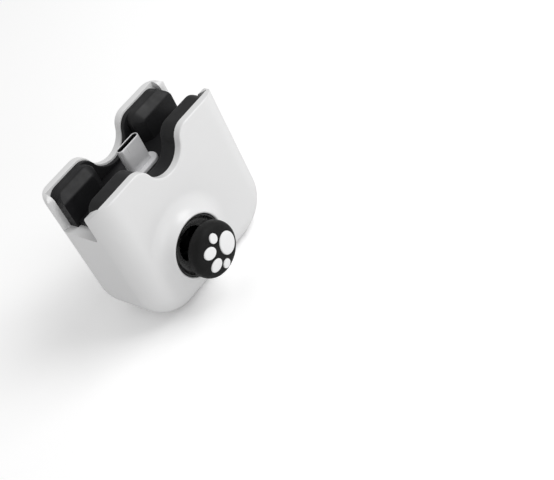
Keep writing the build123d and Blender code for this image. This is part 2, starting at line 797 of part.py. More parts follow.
with BuildPart() as stick_cap:
    with BuildSketch(stick_plane) as cap_profile:
        under = front - cap_underside
        with BuildLine():
            edge_top = front - cap_top + cap_crown
            dome_swing = math.degrees(math.asin(cap_radius / dome_radius))
            CenterArc((0, front - cap_top + dome_radius), dome_radius, -90, dome_swing)
            Polyline((cap_radius, edge_top), (cap_radius, under), (0, under), (0, front - cap_top))
        make_face()
        outer_corners = cap_profile.vertices().group_by(Axis.X)[-1].sort_by(Axis.Y)
        fillet(outer_corners[0], cap_top_rounding)
        outer_corners = cap_profile.vertices().group_by(Axis.Y)[-1].sort_by(Axis.X)
        fillet(outer_corners[-1], cap_bottom_rounding)
    revolve(axis=stick_axis)
    with BuildSketch(across(under)):
        with Locations((stick_x, stick_z)):
            Circle(cap_hollow_radius)
            Circle(stem_radius, mode=Mode.SUBTRACT)
    extrude(amount=cap_hollow_depth, mode=Mode.SUBTRACT)
    with BuildSketch(across(front - cap_underside + stem_length)):
        with Locations((stick_x, stick_z)):
            Circle(stem_radius)
    extrude(amount=stem_length)
    with BuildSketch(across(front - cap_underside + stem_length)):
        with Locations((stick_x, stick_z)):
            Circle(post_radius + post_fit)
    extrude(amount=post_socket_depth, mode=Mode.SUBTRACT)
    with BuildSketch(across(pocket_face)):
        draw_palm()
        draw_toes()
    extrude(amount=cap_thickness, mode=Mode.SUBTRACT)
stick_cap.part.label = "stick_cap"
export_step(stick_cap.part, "parts/stick_cap.step")

with BuildPart() as palm_pad:
    with BuildSketch(stick_plane):
        add(dome_profile)
    revolve(axis=stick_axis)
    with BuildSketch(across(pocket_face)):
        draw_palm()
    extrude(amount=cap_thickness, mode=Mode.INTERSECT)
palm_pad.part.label = "palm_pad"
export_step(palm_pad.part, "parts/palm_pad.step")

with BuildPart() as toe_pads:
    with BuildSketch(stick_plane):
        add(dome_profile)
    revolve(axis=stick_axis)
    with BuildSketch(across(pocket_face)):
        draw_toes()
    extrude(amount=cap_thickness, mode=Mode.INTERSECT)
toe_pads.part.label = "toe_pads"
export_step(toe_pads.part, "parts/toe_pads.step")

with BuildPart() as socket_shell:
    with BuildSketch(Plane.YZ.offset(socket_end)):
        with Locations((socket_y, socket_z)):
            SlotOverall(socket_width, socket_thickness, rotation=90)
            SlotOverall(
                socket_width - 2 * socket_metal,
                socket_thickness - 2 * socket_metal,
                rotation=90,
                mode=Mode.SUBTRACT,
            )
    extrude(amount=socket_length)
socket_shell.part.label = "socket_shell"
export_step(socket_shell.part, "parts/socket_shell.step")

with BuildPart() as socket_tongue:
    with BuildSketch(Plane.YZ.offset(socket_end)):
        with Locations((socket_y, socket_z)):
            SlotOverall(socket_width - 2 * socket_metal, socket_thickness - 2 * socket_metal, rotation=90)
    extrude(amount=socket_back_fill)
    with BuildSketch(Plane.YZ.offset(socket_end)):
        with Locations((socket_y, socket_z)):
            Rectangle(tongue_thickness, tongue_width)
    extrude(amount=socket_length - tongue_setback)
socket_tongue.part.label = "socket_tongue"
export_step(socket_tongue.part, "parts/socket_tongue.step")

bezel_outside = width / 2 - bezel_sunk
bezel_floor = bezel_outside - bezel_recess
bezel_inside = width / 2 - wall - bezel_flange_thickness
with BuildPart() as socket_bezel:
    with BuildSketch(Plane.YZ.offset(bezel_inside)):
        with Locations((socket_y, socket_z)):
            draw_bezel(0)
    extrude(amount=bezel_outside - bezel_inside)
    with BuildSketch(Plane.YZ.offset(bezel_inside)):
        with Locations((socket_y, socket_z)):
            draw_bezel(bezel_flange)
    extrude(amount=bezel_flange_thickness)
    with BuildSketch(Plane.YZ.offset(bezel_floor)):
        with Locations((socket_y, socket_z)):
            draw_bezel(-bezel_wall)
    extrude(amount=bezel_recess, mode=Mode.SUBTRACT)
    with BuildSketch(Plane.YZ.offset(bezel_inside)):
        with Locations((socket_y, socket_z)):
            SlotOverall(socket_width + 2 * bezel_fit, socket_thickness + 2 * bezel_fit, rotation=90)
    extrude(amount=bezel_floor - bezel_inside, mode=Mode.SUBTRACT)
socket_bezel.part.label = "socket_bezel"
export_step(socket_bezel.part, "parts/socket_bezel.step")

with BuildPart() as shell_screws:
    with BuildSketch(across(board_back + well_floor)):
        with Locations(screw_places):
            Circle(screw_radius)
    extrude(amount=well_floor + board_thickness + screw_bite)
    with BuildSketch(across(board_back + well_floor)):
        with Locations(screw_places):
            Circle(screw_head_radius)
    extrude(amount=-screw_head_height)
    with BuildSketch(across(board_back + well_floor + screw_head_height)):
        with Locations(screw_places):
            Rectangle(screw_head_radius, screw_slot_width)
            Rectangle(screw_slot_width, screw_head_radius)
    extrude(amount=screw_slot_depth, mode=Mode.SUBTRACT)
shell_screws.part.label = "shell_screws"
export_step(shell_screws.part, "parts/shell_screws.step")
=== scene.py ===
# %% [markdown]
# A clip-on thumbstick for a phone, dressed for its picture. The construction model is loaded as a fixed
# frame. Every piece made here lies where that frame says, so nothing has to be fitted by eye. The two
# boxes, before and after the work, are kept so that the size can be compared at the end.

# %% Load the frame
import json
import math

import bmesh
import bpy
from mathutils import Matrix, Vector


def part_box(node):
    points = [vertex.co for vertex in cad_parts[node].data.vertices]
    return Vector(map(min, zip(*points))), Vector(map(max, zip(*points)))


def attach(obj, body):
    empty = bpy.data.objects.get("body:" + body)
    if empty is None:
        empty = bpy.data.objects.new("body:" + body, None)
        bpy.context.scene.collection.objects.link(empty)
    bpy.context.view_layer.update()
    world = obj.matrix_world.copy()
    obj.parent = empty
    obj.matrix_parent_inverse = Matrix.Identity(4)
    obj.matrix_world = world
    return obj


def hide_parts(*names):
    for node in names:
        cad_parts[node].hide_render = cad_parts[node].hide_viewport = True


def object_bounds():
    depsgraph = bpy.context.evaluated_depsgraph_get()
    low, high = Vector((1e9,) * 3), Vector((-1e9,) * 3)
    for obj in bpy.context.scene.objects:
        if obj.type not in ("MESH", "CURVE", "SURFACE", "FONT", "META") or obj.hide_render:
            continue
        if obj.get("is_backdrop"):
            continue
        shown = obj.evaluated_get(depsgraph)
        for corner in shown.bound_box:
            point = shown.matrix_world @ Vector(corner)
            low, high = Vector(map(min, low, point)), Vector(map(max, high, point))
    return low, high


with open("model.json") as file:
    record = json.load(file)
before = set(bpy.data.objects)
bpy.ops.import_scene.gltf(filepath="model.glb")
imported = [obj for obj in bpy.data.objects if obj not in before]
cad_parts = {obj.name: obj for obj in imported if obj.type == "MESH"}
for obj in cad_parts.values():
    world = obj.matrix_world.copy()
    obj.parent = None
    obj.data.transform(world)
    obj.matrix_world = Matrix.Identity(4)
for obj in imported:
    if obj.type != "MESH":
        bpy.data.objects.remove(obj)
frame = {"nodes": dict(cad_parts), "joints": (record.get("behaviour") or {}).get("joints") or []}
cad_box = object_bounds()
print("frame box in mm", [[round(c * 1000, 2) for c in corner] for corner in cad_box])

# %% [markdown]
# The shapes below are drawn in millimetres, because that is how the makers of such small things think.
# The places that the frame knows are read from it: the front face of the block lies one mound height
# behind the foremost point of the front shell, and the stick's pivot is the place of its joint.

# %% Places read from the frame
MM = 0.001
mound_height = 3.5


def box_mm(node):
    """Lowest and highest corner of a node, in millimetres."""
    low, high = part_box(node)
    return low / MM, high / MM


shell_low, shell_high = box_mm("front_shell")
half_width = shell_high.x
crest = shell_high.z
front = shell_low.y + mound_height
back = box_mm("back_shell")[1].y
parting = shell_high.y
pivot = Vector(frame["joints"][0]["pos_m"]) / MM
floor_low, floor_high = box_mm("floor_pad")
slot_floor = floor_low.z
slot_front = box_mm("front_pad")[0].y
slot_back = box_mm("back_pad")[1].y
plug_low, plug_high = box_mm("plug_shell")
plug_y = (plug_low.y + plug_high.y) / 2
socket_low, socket_high = box_mm("socket_shell")
socket_y = (socket_low.y + socket_high.y) / 2
socket_z = (socket_low.z + socket_high.z) / 2
print("front", round(front, 3), "back", round(back, 3), "parting", round(parting, 3), "pivot", pivot)

# %% [markdown]
# The camera stands to the left of the object, above it, and leans, because the photographed block tips
# to the left by about 26 degrees. The place, the two turns, the lean and the lens come from a fit of
# traced outlines, which put the model's edges on the photographed ones to about a pixel.

# %% Camera
camera_place = Vector((-124.75, -204.88, 200.95)) * MM
camera_azimuth = 36.34
camera_drop = 40.56
camera_lean = 26.37
camera_lens = 69.5
nearest_seen = 10 * MM

camera_data = bpy.data.cameras.new("camera")
camera_data.lens = camera_lens
camera_data.clip_start = nearest_seen
camera = bpy.data.objects.new("camera", camera_data)
bpy.context.scene.collection.objects.link(camera)
turn = Matrix.Rotation(math.radians(-camera_azimuth), 4, "Z")
tip = Matrix.Rotation(math.radians(90 - camera_drop), 4, "X")
lean = Matrix.Rotation(math.radians(-camera_lean), 4, "Z")
camera.matrix_world = Matrix.Translation(camera_place) @ turn @ tip @ lean
bpy.context.scene.camera = camera
print("camera stands", round(camera_place.length / MM), "mm from the frame's origin")

# %% [markdown]
# Most pieces start as a flat outline, a list of points along arcs and straight runs. Long runs are
# divided too, because a skin can only bend where it has points. A soft corner is a short curve that is
# drawn towards the corner point, as the edge of a moulding looks from close up.

# %% Helpers for outlines
def arc(across, up, radius, start, sweep, step=1.0):
    """Points of an arc round (across, up), angles in degrees, about one step of length apart."""
    count = max(3, round(math.radians(abs(sweep)) * radius / step))
    angles = [math.radians(start + sweep * i / count) for i in range(count + 1)]
    return [(across + radius * math.cos(a), up + radius * math.sin(a)) for a in angles]


def evened(points, step=1.0, touching=1e-6):
    """The closed outline through these points, with its long straight runs divided."""
    result = []
    for here, there in zip(points, points[1:] + points[:1]):
        span = math.dist(here, there)
        if span < touching:
            continue
        count = max(1, round(span / step)) if span > 1.5 * step else 1
        for i in range(count):
            result.append(tuple(a + (b - a) * i / count for a, b in zip(here, there)))
    return result


def soft_corner(before, corner, after, steps=4):
    """Points of a soft turn from one profile point to another, drawn towards the corner between them."""
    shares = [i / steps for i in range(steps + 1)]
    return [
        tuple((1 - t) ** 2 * a + 2 * t * (1 - t) * b + t * t * c for a, b, c in zip(before, corner, after))
        for t in shares
    ]


def eased(corner, come, go, softness, steps=4):
    """A soft turn at a corner of a profile that comes to it one way and goes on another."""
    before = [place - way * softness for place, way in zip(corner, come)]
    after = [place + way * softness for place, way in zip(corner, go)]
    return soft_corner(before, corner, after, steps)


print("a quarter round of 10 mm radius has", len(arc(0, 0, 10, 0, 90)), "points")

# %% [markdown]
# A skin grows from such an outline. The points become a closed loop of edges, and the loop is pulled on,
# ring after ring: its edges are extruded and a rule places every new point. A number kept on each point
# tells which spoke it is on, and an extruded point inherits it. One flat face closes a loop at the end.

# %% Helpers for rings
def start_loop(points, place):
    """A new bmesh with one closed loop; place turns an outline point into a position."""
    bm = bmesh.new()
    spoke = bm.verts.layers.int.new("spoke")
    verts = [bm.verts.new(place(p)) for p in points]
    for i, vert in enumerate(verts):
        vert[spoke] = i
    edges = [bm.edges.new(pair) for pair in zip(verts, verts[1:] + verts[:1])]
    return bm, edges


def next_ring(bm, edges, place):
    """Extrude a loop and put the new points where place(number of the spoke) says."""
    spoke = bm.verts.layers.int["spoke"]
    made = bmesh.ops.extrude_edge_only(bm, edges=edges)["geom"]
    verts = [v for v in made if isinstance(v, bmesh.types.BMVert)]
    for vert in verts:
        vert.co = place(vert[spoke])
    new = set(verts)
    return [e for e in made if isinstance(e, bmesh.types.BMEdge) and set(e.verts) <= new]


def close_loop(bm, edges):
    """Close a loop with one flat face."""
    bmesh.ops.contextual_create(bm, geom=edges)


# %% [markdown]
# Openings are cut as in a workshop: one closed shape is taken away from another, or joined to it. The
# manifold solver does that quickly and leaves no open edge, as long as both shapes are closed. A cut
# leaves sharp edges. Those that a rule picks by their place are rounded with a narrow bevel.

# %% Helpers for cutting and rounding
def as_object(bm, name):
    """A bmesh as an object of the scene, in the bmesh's own units."""
    mesh = bpy.data.meshes.new(name)
    bm.to_mesh(mesh)
    bm.free()
    made = bpy.data.objects.new(name, mesh)
    bpy.context.scene.collection.objects.link(made)
    return made


def carve(bm, *tools, operation="DIFFERENCE"):
    """Cut the closed shape bm with each closed tool in turn, or join it with them; return the result."""
    for tool in tools:
        for part in (bm, tool):
            bmesh.ops.recalc_face_normals(part, faces=part.faces)
        work, cutter = as_object(bm, "work"), as_object(tool, "cutter")
        step = work.modifiers.new("carve", "BOOLEAN")
        step.operation = operation
        step.solver = "MANIFOLD"
        step.object = cutter
        bm = bmesh.new()
        bm.from_object(work, bpy.context.evaluated_depsgraph_get())
        for used in (work, cutter):
            bpy.data.objects.remove(used)
    return bm


def rounded(bm, wanted, width, steps=2, sharper_than=40):
    """Round the sharp edges whose middle the rule wants."""
    limit = math.radians(sharper_than)
    chosen = []
    for edge in bm.edges:
        middle = (edge.verts[0].co + edge.verts[1].co) / 2
        if len(edge.link_faces) == 2 and edge.calc_face_angle() > limit and wanted(middle):
            chosen.append(edge)
    bmesh.ops.bevel(
        bm, geom=chosen, offset=width, offset_type="OFFSET", segments=steps, profile=0.5,
        affect="EDGES", clamp_overlap=False, material=-1,
    )
    print("rounded edges", len(chosen))


# %% [markdown]
# Every piece is finished in the same way. Points that a cut left almost on one spot are merged, and stray
# edges go. Shading is smooth except at true corners, and weighted normals keep large faces calm beside
# their narrow roundings. Then the piece is painted and fixed to its moving body, and the part of the frame
# that it stands for is hidden.

# %% Helper that finishes a piece
merge_distance = 0.002
shortest_edge = 0.001


def finished(bm, name, body, material, node, smooth_below=35):
    """Make a piece of a bmesh: to metres, smooth but for its true corners, painted and fixed to its body."""
    bmesh.ops.remove_doubles(bm, verts=bm.verts, dist=merge_distance)
    bmesh.ops.dissolve_degenerate(bm, edges=bm.edges, dist=shortest_edge)
    bmesh.ops.recalc_face_normals(bm, faces=bm.faces)
    bmesh.ops.delete(bm, geom=[edge for edge in bm.edges if not edge.link_faces], context="EDGES")
    limit = math.radians(smooth_below)
    for face in bm.faces:
        face.smooth = True
    for edge in bm.edges:
        edge.smooth = len(edge.link_faces) == 2 and edge.calc_face_angle() < limit
    open_edges = sum(1 for edge in bm.edges if len(edge.link_faces) != 2)
    bmesh.ops.scale(bm, vec=(MM, MM, MM), verts=bm.verts)
    piece = as_object(bm, name)
    evener = piece.modifiers.new("even shading", "WEIGHTED_NORMAL")
    evener.keep_sharp = True
    piece.data.materials.append(material)
    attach(piece, body)
    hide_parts(node)
    print(name, len(piece.data.polygons), "faces,", open_edges, "open edges")


# %% [markdown]
# Every surface is a procedural material, so it needs no picture. Noise drives it, and these helpers turn
# a noise field into what a shader understands: a roughness between two limits, a blend of two colours,
# or a faint bump.

# %% Helpers for materials
MICRON = 0.000001
usual_low, usual_high = 0.3, 0.7
blend_start, blend_end = 0.35, 0.65


def set_inputs(node, values):
    """Set inputs of a node by their names."""
    for name, value in values.items():
        node.inputs[name].default_value = value


def new_material(name):
    """A new material with its node tree, its shader and its object coordinates."""
    material = bpy.data.materials.new(name)
    material.use_nodes = True
    tree = material.node_tree
    place = tree.nodes.new("ShaderNodeTexCoord")
    print("material", name)
    return material, tree, tree.nodes["Principled BSDF"], place.outputs["Object"]


def noise(tree, place, scale, detail, stretch=(1, 1, 1)):
    """Noise on object coordinates; scale is in waves per metre."""
    mapping = tree.nodes.new("ShaderNodeMapping")
    set_inputs(mapping, {"Scale": stretch})
    tree.links.new(place, mapping.inputs["Vector"])
    field = tree.nodes.new("ShaderNodeTexNoise")
    set_inputs(field, {"Scale": scale, "Detail": detail})
    tree.links.new(mapping.outputs["Vector"], field.inputs["Vector"])
    return field.outputs["Fac"]


def spread(tree, field, low, high):
    """A noise field, whose usual values are stretched to run from low to high."""
    ranger = tree.nodes.new("ShaderNodeMapRange")
    set_inputs(ranger, {"From Min": usual_low, "From Max": usual_high, "To Min": low, "To Max": high})
    tree.links.new(field, ranger.inputs["Value"])
    return ranger.outputs["Result"]


def blend_colours(tree, field, first, second):
    """Two colours blended by a noise field."""
    ramp = tree.nodes.new("ShaderNodeValToRGB")
    stops = ((blend_start, first), (blend_end, second))
    for stop, (position, colour) in zip(ramp.color_ramp.elements, stops):
        stop.position = position
        stop.color = (*colour, 1)
    tree.links.new(field, ramp.inputs["Fac"])
    return ramp.outputs["Color"]


def add_bump(tree, shader, field, height):
    """Bump from a noise field; height is in metres."""
    bump = tree.nodes.new("ShaderNodeBump")
    set_inputs(bump, {"Distance": height, "Strength": 1.0})
    tree.links.new(field, bump.inputs["Height"])
    tree.links.new(bump.outputs["Normal"], shader.inputs["Normal"])


def grey(tone, blue=0.0):
    """A grey, with a touch of blue where wanted."""
    return (tone, tone, tone + blue)


# %% [markdown]
# Moulded plastic is never one flat colour. Its tone drifts a little, its gloss is uneven where hands
# touch it, and a fine grain breaks up the reflections. One function makes every plastic and rubber, with
# these amounts as its values. The casing is a calm glossy white, and the pads are a matt black silicone.

# %% Moulded plastics and rubbers
handling_to_drift = 3.1
coat_roughness = 0.08


def plastic(name, first, second, gloss, grain, drift, coat=0.0, shine=0.5):
    """Moulded plastic or rubber; grain is waves per metre and height in microns, drift waves per metre."""
    material, tree, shader, place = new_material(name)
    tone = noise(tree, place, drift, detail=4)
    tree.links.new(blend_colours(tree, tone, first, second), shader.inputs["Base Color"])
    handling = noise(tree, place, handling_to_drift * drift, detail=5)
    tree.links.new(spread(tree, handling, *gloss), shader.inputs["Roughness"])
    grain_scale, grain_height = grain
    add_bump(tree, shader, noise(tree, place, grain_scale, detail=2), grain_height * MICRON)
    set_inputs(shader, {"Specular IOR Level": shine, "Coat Weight": coat, "Coat Roughness": coat_roughness})
    return material


white_plastic = plastic(
    "white_casing", grey(0.812, 0.003), grey(0.828), gloss=(0.28, 0.34), grain=(900, 1.2), drift=22,
    coat=0.15,
)
black_silicone = plastic(
    "black_silicone", grey(0.009, 0.001), grey(0.014, 0.001), gloss=(0.40, 0.54), grain=(2600, 12),
    drift=140, shine=0.28,
)

# %% [markdown]
# The block's outline has two ears with a round notch between them, which lets a finger press the phone
# out. Arcs describe it best: the notch, its two shoulders, the ears and the wide bottom corners all touch
# their neighbours without a kink. Two measures go with it: the way out of the outline at every point, and
# how far a place lies inside the block's sides. The face's rounding follows from the second one.

# %% Outline of the block
notch_depth = 8.1
notch_radius = 7.0
shoulder_radius = 4.7
ear_corner = 3.5
bottom_corner = 12.6
notch_rise = notch_depth - notch_radius - shoulder_radius
notch_half = math.sqrt((notch_radius + shoulder_radius) ** 2 - notch_rise**2)
notch_slope = math.degrees(math.atan2(notch_rise, notch_half))


def eared(half, top, base, corner=0.0, step=1.0):
    """Outline of a face with two round ears and the notch between them, clockwise."""
    shoulder = top - shoulder_radius
    ear = half - ear_corner
    points = arc(notch_half, shoulder, shoulder_radius, 180 + notch_slope, -90 - notch_slope, step)
    points += arc(ear, top - ear_corner, ear_corner, 90, -90, step)
    if corner:
        points += arc(half - corner, base + corner, corner, 0, -90, step)
        points += arc(corner - half, base + corner, corner, -90, -90, step)
    else:
        points += [(half, base), (-half, base)]
    points += arc(-ear, top - ear_corner, ear_corner, 180, -90, step)
    points += arc(-notch_half, shoulder, shoulder_radius, 90, -90 - notch_slope, step)
    bottom = top - notch_depth + notch_radius
    points += arc(0, bottom, notch_radius, 180 - notch_slope, 180 + 2 * notch_slope, step)
    return evened(points, step)


def outward(points):
    """For every point of a clockwise outline, the way out of it, long enough to keep corners sharp."""
    result = []
    for before, here, after in zip(points[-1:] + points[:-1], points, points[1:] + points[:1]):
        run_in = (Vector(here) - Vector(before)).normalized()
        run_out = (Vector(after) - Vector(here)).normalized()
        first, second = Vector((-run_in.y, run_in.x)), Vector((-run_out.y, run_out.x))
        result.append((first + second) / (1 + first.dot(second)))
    return result


def inside_block(x, z):
    """Distance inside the block's sides and round bottom corners, the top left open."""
    aside = max(abs(x) - (half_width - bottom_corner), 0.0)
    below = max(bottom_corner - z, 0.0)
    return bottom_corner - math.hypot(aside, below)


def round_over(inside, radius):
    """How far a rounded edge lies behind its face at a distance inside the edge."""
    reach = radius - min(max(inside, 0.0), radius)
    return radius - math.sqrt(radius**2 - reach**2)


block_outline = eared(half_width, crest, 0.0, bottom_corner)
outline_ways = outward(block_outline)
print("outline of", len(block_outline), "points, notch arcs meet", round(notch_half, 2), "mm off the middle")

# %% [markdown]
# Both shells are drawn with the same spokes, which run out from the stick. A waist line between rim and
# mound evens them out, so that no ring folds over itself beside the ears.

# %% Spokes and waist
slot_roof = 2.0
hollow_top = slot_floor - slot_roof
waist_share = 0.93
waist_ears = 0.25
stick = Vector((pivot.x, pivot.z))


def waist_point(x, z):
    """A point of the outline moved to the waist: slightly inwards, with the ears nearly flattened."""
    low = min(z, hollow_top)
    ear = max(z - hollow_top, 0.0) * waist_ears
    return Vector((x * waist_share, stick.y + (low - stick.y) * waist_share + ear))


def round_stick(radius, depth):
    """Rule for a ring round the stick; depth may be a number or a function of the place."""
    def place(i):
        flat = stick + spokes[i] * radius
        return (flat.x, depth(flat) if callable(depth) else depth, flat.y)
    return place


waist = [waist_point(*p) for p in block_outline]
spokes = [(p - stick).normalized() for p in waist]
print(len(spokes), "spokes round the stick at", [round(c, 2) for c in stick])

# %% [markdown]
# Inside, the shells are hollow. The hollow keeps one wall's thickness from the sides, stays under the
# slot's floor and turns into the face with a round, as a mould maker would draw it. Where a spoke meets
# the hollow's outline is found by halving the stretch that it must lie in, again and again.

# %% Hollow of the shells
wall = 2.2
hollow_rounding = 3.6
hollow_steps = 4
same_place = 0.0001


def inside_hollow(flat):
    """Distance inside the hollow's outline: a wall inside the block, and under the slot's roof."""
    return min(inside_block(flat.x, flat.y) - wall, hollow_top - flat.y)


def hollow_edge(spoke, inside=0.0):
    """Where a spoke from the stick meets the hollow's outline, drawn in by inside."""
    near, far = 0.0, half_width + crest
    while far - near > same_place:
        middle = (near + far) / 2
        if inside_hollow(stick + spoke * middle) > inside:
            near = middle
        else:
            far = middle
    return stick + spoke * near


def hollow_wall(depth, inside=0.0):
    """Rule for a ring on the hollow's outline at one depth."""
    def place(i):
        flat = hollow_edge(spokes[i], inside)
        return (flat.x, depth, flat.y)
    return place


def hollow_rings(bm, loop, end_depth):
    """Line the hollow from the parting to its far wall, with the round between the two."""
    loop = next_ring(bm, loop, hollow_wall(parting))
    towards = 1 if end_depth > parting else -1
    for i in range(hollow_steps + 1):
        angle = math.pi / 2 * i / hollow_steps
        depth = end_depth - towards * hollow_rounding * (1 - math.sin(angle))
        loop = next_ring(bm, loop, hollow_wall(depth, hollow_rounding * (1 - math.cos(angle))))
    return loop


print("hollow reaches", round(hollow_edge(Vector((1, 0))).x, 2), "mm to the right of the middle")

# %% [markdown]
# A shell's outer skin starts at the parting, runs along the sides, turns over the edge and crosses the
# face, ring after ring. Every ring asks one function for its depth, so all forms of the face stay in that
# function. Rings crowd near the rim, where the surface bends most.

# %% Skin of sides and face
rim_rounding = 0.45
joint_rounding = 0.1
rim_steps, waist_steps, foot_steps = 5, 12, 20
rim_crowding = 1.6


def inset_rim(amount, depth):
    """Rule for a ring a small amount inside the rim, at the depth of the face there."""
    def place(i):
        flat = Vector(block_outline[i]) - outline_ways[i] * amount
        return (flat.x, depth(flat.x, flat.y, amount), flat.y)
    return place


def face_rings(bm, loop, depth, foot_radius):
    """Cover a face from its rim over the waist to a ring round the stick."""
    for i in range(rim_steps + 1):
        inset = rim_rounding * (1 - math.cos(math.pi / 2 * i / rim_steps))
        loop = next_ring(bm, loop, inset_rim(inset, depth))
    rim = [Vector(p) - way * rim_rounding for p, way in zip(block_outline, outline_ways)]
    foot = [stick + spoke * foot_radius for spoke in spokes]
    stretches = ((rim, waist, waist_steps, rim_crowding), (waist, foot, foot_steps, 1.0))
    for starts, ends, steps, power in stretches:
        for i in range(1, steps + 1):
            flats = [a.lerp(b, (i / steps) ** power) for a, b in zip(starts, ends)]
            loop = next_ring(bm, loop, lambda k: (flats[k].x, depth(*flats[k], rim_rounding), flats[k].y))
    return loop


def outer_skin(towards, depth, foot_radius):
    """The skin from the parting, forward (-1) or rearward (1), over sides and face to a round foot."""
    bm, joint = start_loop(range(len(waist)), inset_rim(joint_rounding, lambda *where: parting))
    loop = next_ring(bm, joint, inset_rim(0.0, lambda *where: parting + towards * joint_rounding))
    return bm, joint, face_rings(bm, loop, depth, foot_radius)


# %% [markdown]
# The front shell's face has three forms: the wide rounding of its sides, the small rounding of its rim,
# and the mound round the stick. The mound is a flare, an arc that leaves the face softly and ends in a
# thin round lip. It is simply added to the other two, so it also meets the rounding below it without a
# step. The lining of the hollow closes the skin.

# %% Front shell: face, mound and lining
front_rounding = 6.5
mound_radius = 15.0
mound_foot = mound_radius + 0.2
hole_radius = 9.0
lip_middle = 9.35
lip_round = 0.35
lip_meets_flare = Vector((0.9, 0.44)) * lip_round
lip_start, lip_sweep = 30, 150
flare_end = Vector((lip_middle, mound_height - lip_round)) + lip_meets_flare
flare_run = mound_radius - flare_end.x
flare_radius = (flare_run**2 + flare_end.y**2) / (2 * flare_end.y)
flare_swing = math.asin(flare_run / flare_radius)
flare_steps, lip_steps = 14, 8


def face_depth(x, z, from_rim):
    """Depth of the front face, with its wide side rounding and the small rounding of the rim."""
    return front + max(round_over(inside_block(x, z), front_rounding), round_over(from_rim, rim_rounding))


def raised(rise):
    """Depth of a point that stands a rise in front of the face."""
    return lambda flat: face_depth(flat.x, flat.y, rim_rounding) - rise


def front_skin():
    """The front shell as one closed skin, before the slot is cut."""
    bm, joint, loop = outer_skin(-1, face_depth, mound_foot)
    for i in range(flare_steps + 1):
        angle = flare_swing * i / flare_steps
        radius = mound_radius - flare_radius * math.sin(angle)
        loop = next_ring(bm, loop, round_stick(radius, raised(flare_radius * (1 - math.cos(angle)))))
    for i in range(1, lip_steps + 1):
        angle = math.radians(lip_start + lip_sweep * i / lip_steps)
        radius = lip_middle + lip_round * math.cos(angle)
        rise = mound_height - lip_round + lip_round * math.sin(angle)
        loop = next_ring(bm, loop, round_stick(radius, raised(rise)))
    next_ring(bm, loop, round_stick(hole_radius, front + wall))
    loop = hollow_rings(bm, joint, front + wall)
    next_ring(bm, loop, round_stick(hole_radius, front + wall))
    bmesh.ops.remove_doubles(bm, verts=bm.verts, dist=same_place)
    return bm


print("the mound's flare is an arc of", round(flare_radius, 1), "mm radius")

# %% [markdown]
# The slot for the phone is cut out of the skins with simple closed shapes, all of them prisms. Short lips
# stand at both ends of the front and back walls and keep the pads in place. The tops of the front lips
# slope down rearwards, and those of the back lips run down in a soft bow. The first tool opens the ends
# between these lips from side to side, with a round in the floor.

# %% Tool that opens the slot's ends
end_lip_face = front + 7.0
end_lip_drop = 2.4
back_lip_face = slot_back - 2.6
back_lip_drop = 1.6
back_lip_bow = 0.5
lip_softness = 0.6
slope_share = 0.87
slot_corner = 1.2
fine_step = 0.2
beyond = 40.0
X, Y, Z = range(3)


def prism(points, axis, start, length):
    """A closed prism along one axis; the points are places across it, in the order of the other two."""
    bm, loop = start_loop(points, lambda p: (*p[:axis], start, *p[axis:]))
    close_loop(bm, loop)
    sides = bmesh.ops.extrude_face_region(bm, geom=bm.faces[:])["geom"]
    for side in sides:
        if isinstance(side, bmesh.types.BMVert):
            side.co[axis] += length
    return bm


def slot_end_tool():
    """What is open over the slot's floor from side to side, between the front and the back end lips."""
    bow_end, bow_height = slot_back + back_lip_bow, back_lip_drop + lip_softness
    points = [(slot_front, crest), (slot_front, beyond + crest), (bow_end, beyond + crest)]
    for degrees in range(0, 91, 10):
        turn = math.radians(degrees)
        depth = bow_end - (bow_end - back_lip_face) * math.sin(turn)
        points.append((depth, crest - bow_height * (1 - math.cos(turn))))
    points += arc(back_lip_face - slot_corner, slot_floor + slot_corner, slot_corner, 0, -90, fine_step)
    points += arc(end_lip_face + slot_corner, slot_floor + slot_corner, slot_corner, -90, -90, fine_step)
    lip_top = crest - end_lip_drop
    points += soft_corner(
        (end_lip_face, lip_top - lip_softness), (end_lip_face, lip_top),
        (end_lip_face - lip_softness, crest - slope_share * end_lip_drop),
    )
    return prism(points, X, -beyond, 2 * beyond)


print("slot from", round(slot_front - front, 2), "to", round(slot_back - front, 2), "mm behind the face")

# %% [markdown]
# Three more tools do the rest. One clears the slot between its end walls, one rounds the upright edge of
# a back lip, and one is the long hole in the floor that the plug stands in. The lip's tool ends a hair
# over the floor, because a solver is easily confused by two cuts that share a plane.

# %% Tools for the slot, the lips' edges and the plug
end_lip_wall = 2.5
back_lip_wall = 2.8
back_lip_rounding = 2.0
plug_clearance = 0.3
round_step = 0.3
hair = 0.001
tool_margin = 1.0


def slot_tool():
    """The slot between its end lips, down to the floor."""
    front_half, back_half = half_width - end_lip_wall, half_width - back_lip_wall
    right = [(front_half, slot_front), (front_half, back_lip_face)]
    right += [(back_half, back_lip_face), (back_half, slot_back)]
    left = [(-across, depth) for across, depth in reversed(right)]
    return prism(right + left, Z, slot_floor, beyond)


def lip_edge_tool(side):
    """What lies outside the rounded upright edge of the back end lip on one side (1 right, -1 left)."""
    radius = back_lip_rounding
    outside, before = half_width + tool_margin, back_lip_face - tool_margin
    points = arc(half_width - radius, back_lip_face + radius, radius, 0, -90, fine_step)
    points += [(half_width - radius, before), (outside, before), (outside, back_lip_face + radius)]
    return prism([(side * across, depth) for across, depth in points], Z, slot_floor + hair, beyond)


def plug_hole_tool():
    """The long hole in the slot's floor that the plug stands in."""
    half = (plug_high.x - plug_low.x) / 2 + plug_clearance
    end = (plug_high.y - plug_low.y) / 2 + plug_clearance
    points = arc(half - end, plug_y, end, 90, -180, round_step)
    points += arc(end - half, plug_y, end, -90, -180, round_step)
    return prism(points, Z, hollow_top - tool_margin, slot_roof + 2 * tool_margin)


print("slot clear over", 2 * round(half_width - end_lip_wall, 2), "mm in front")

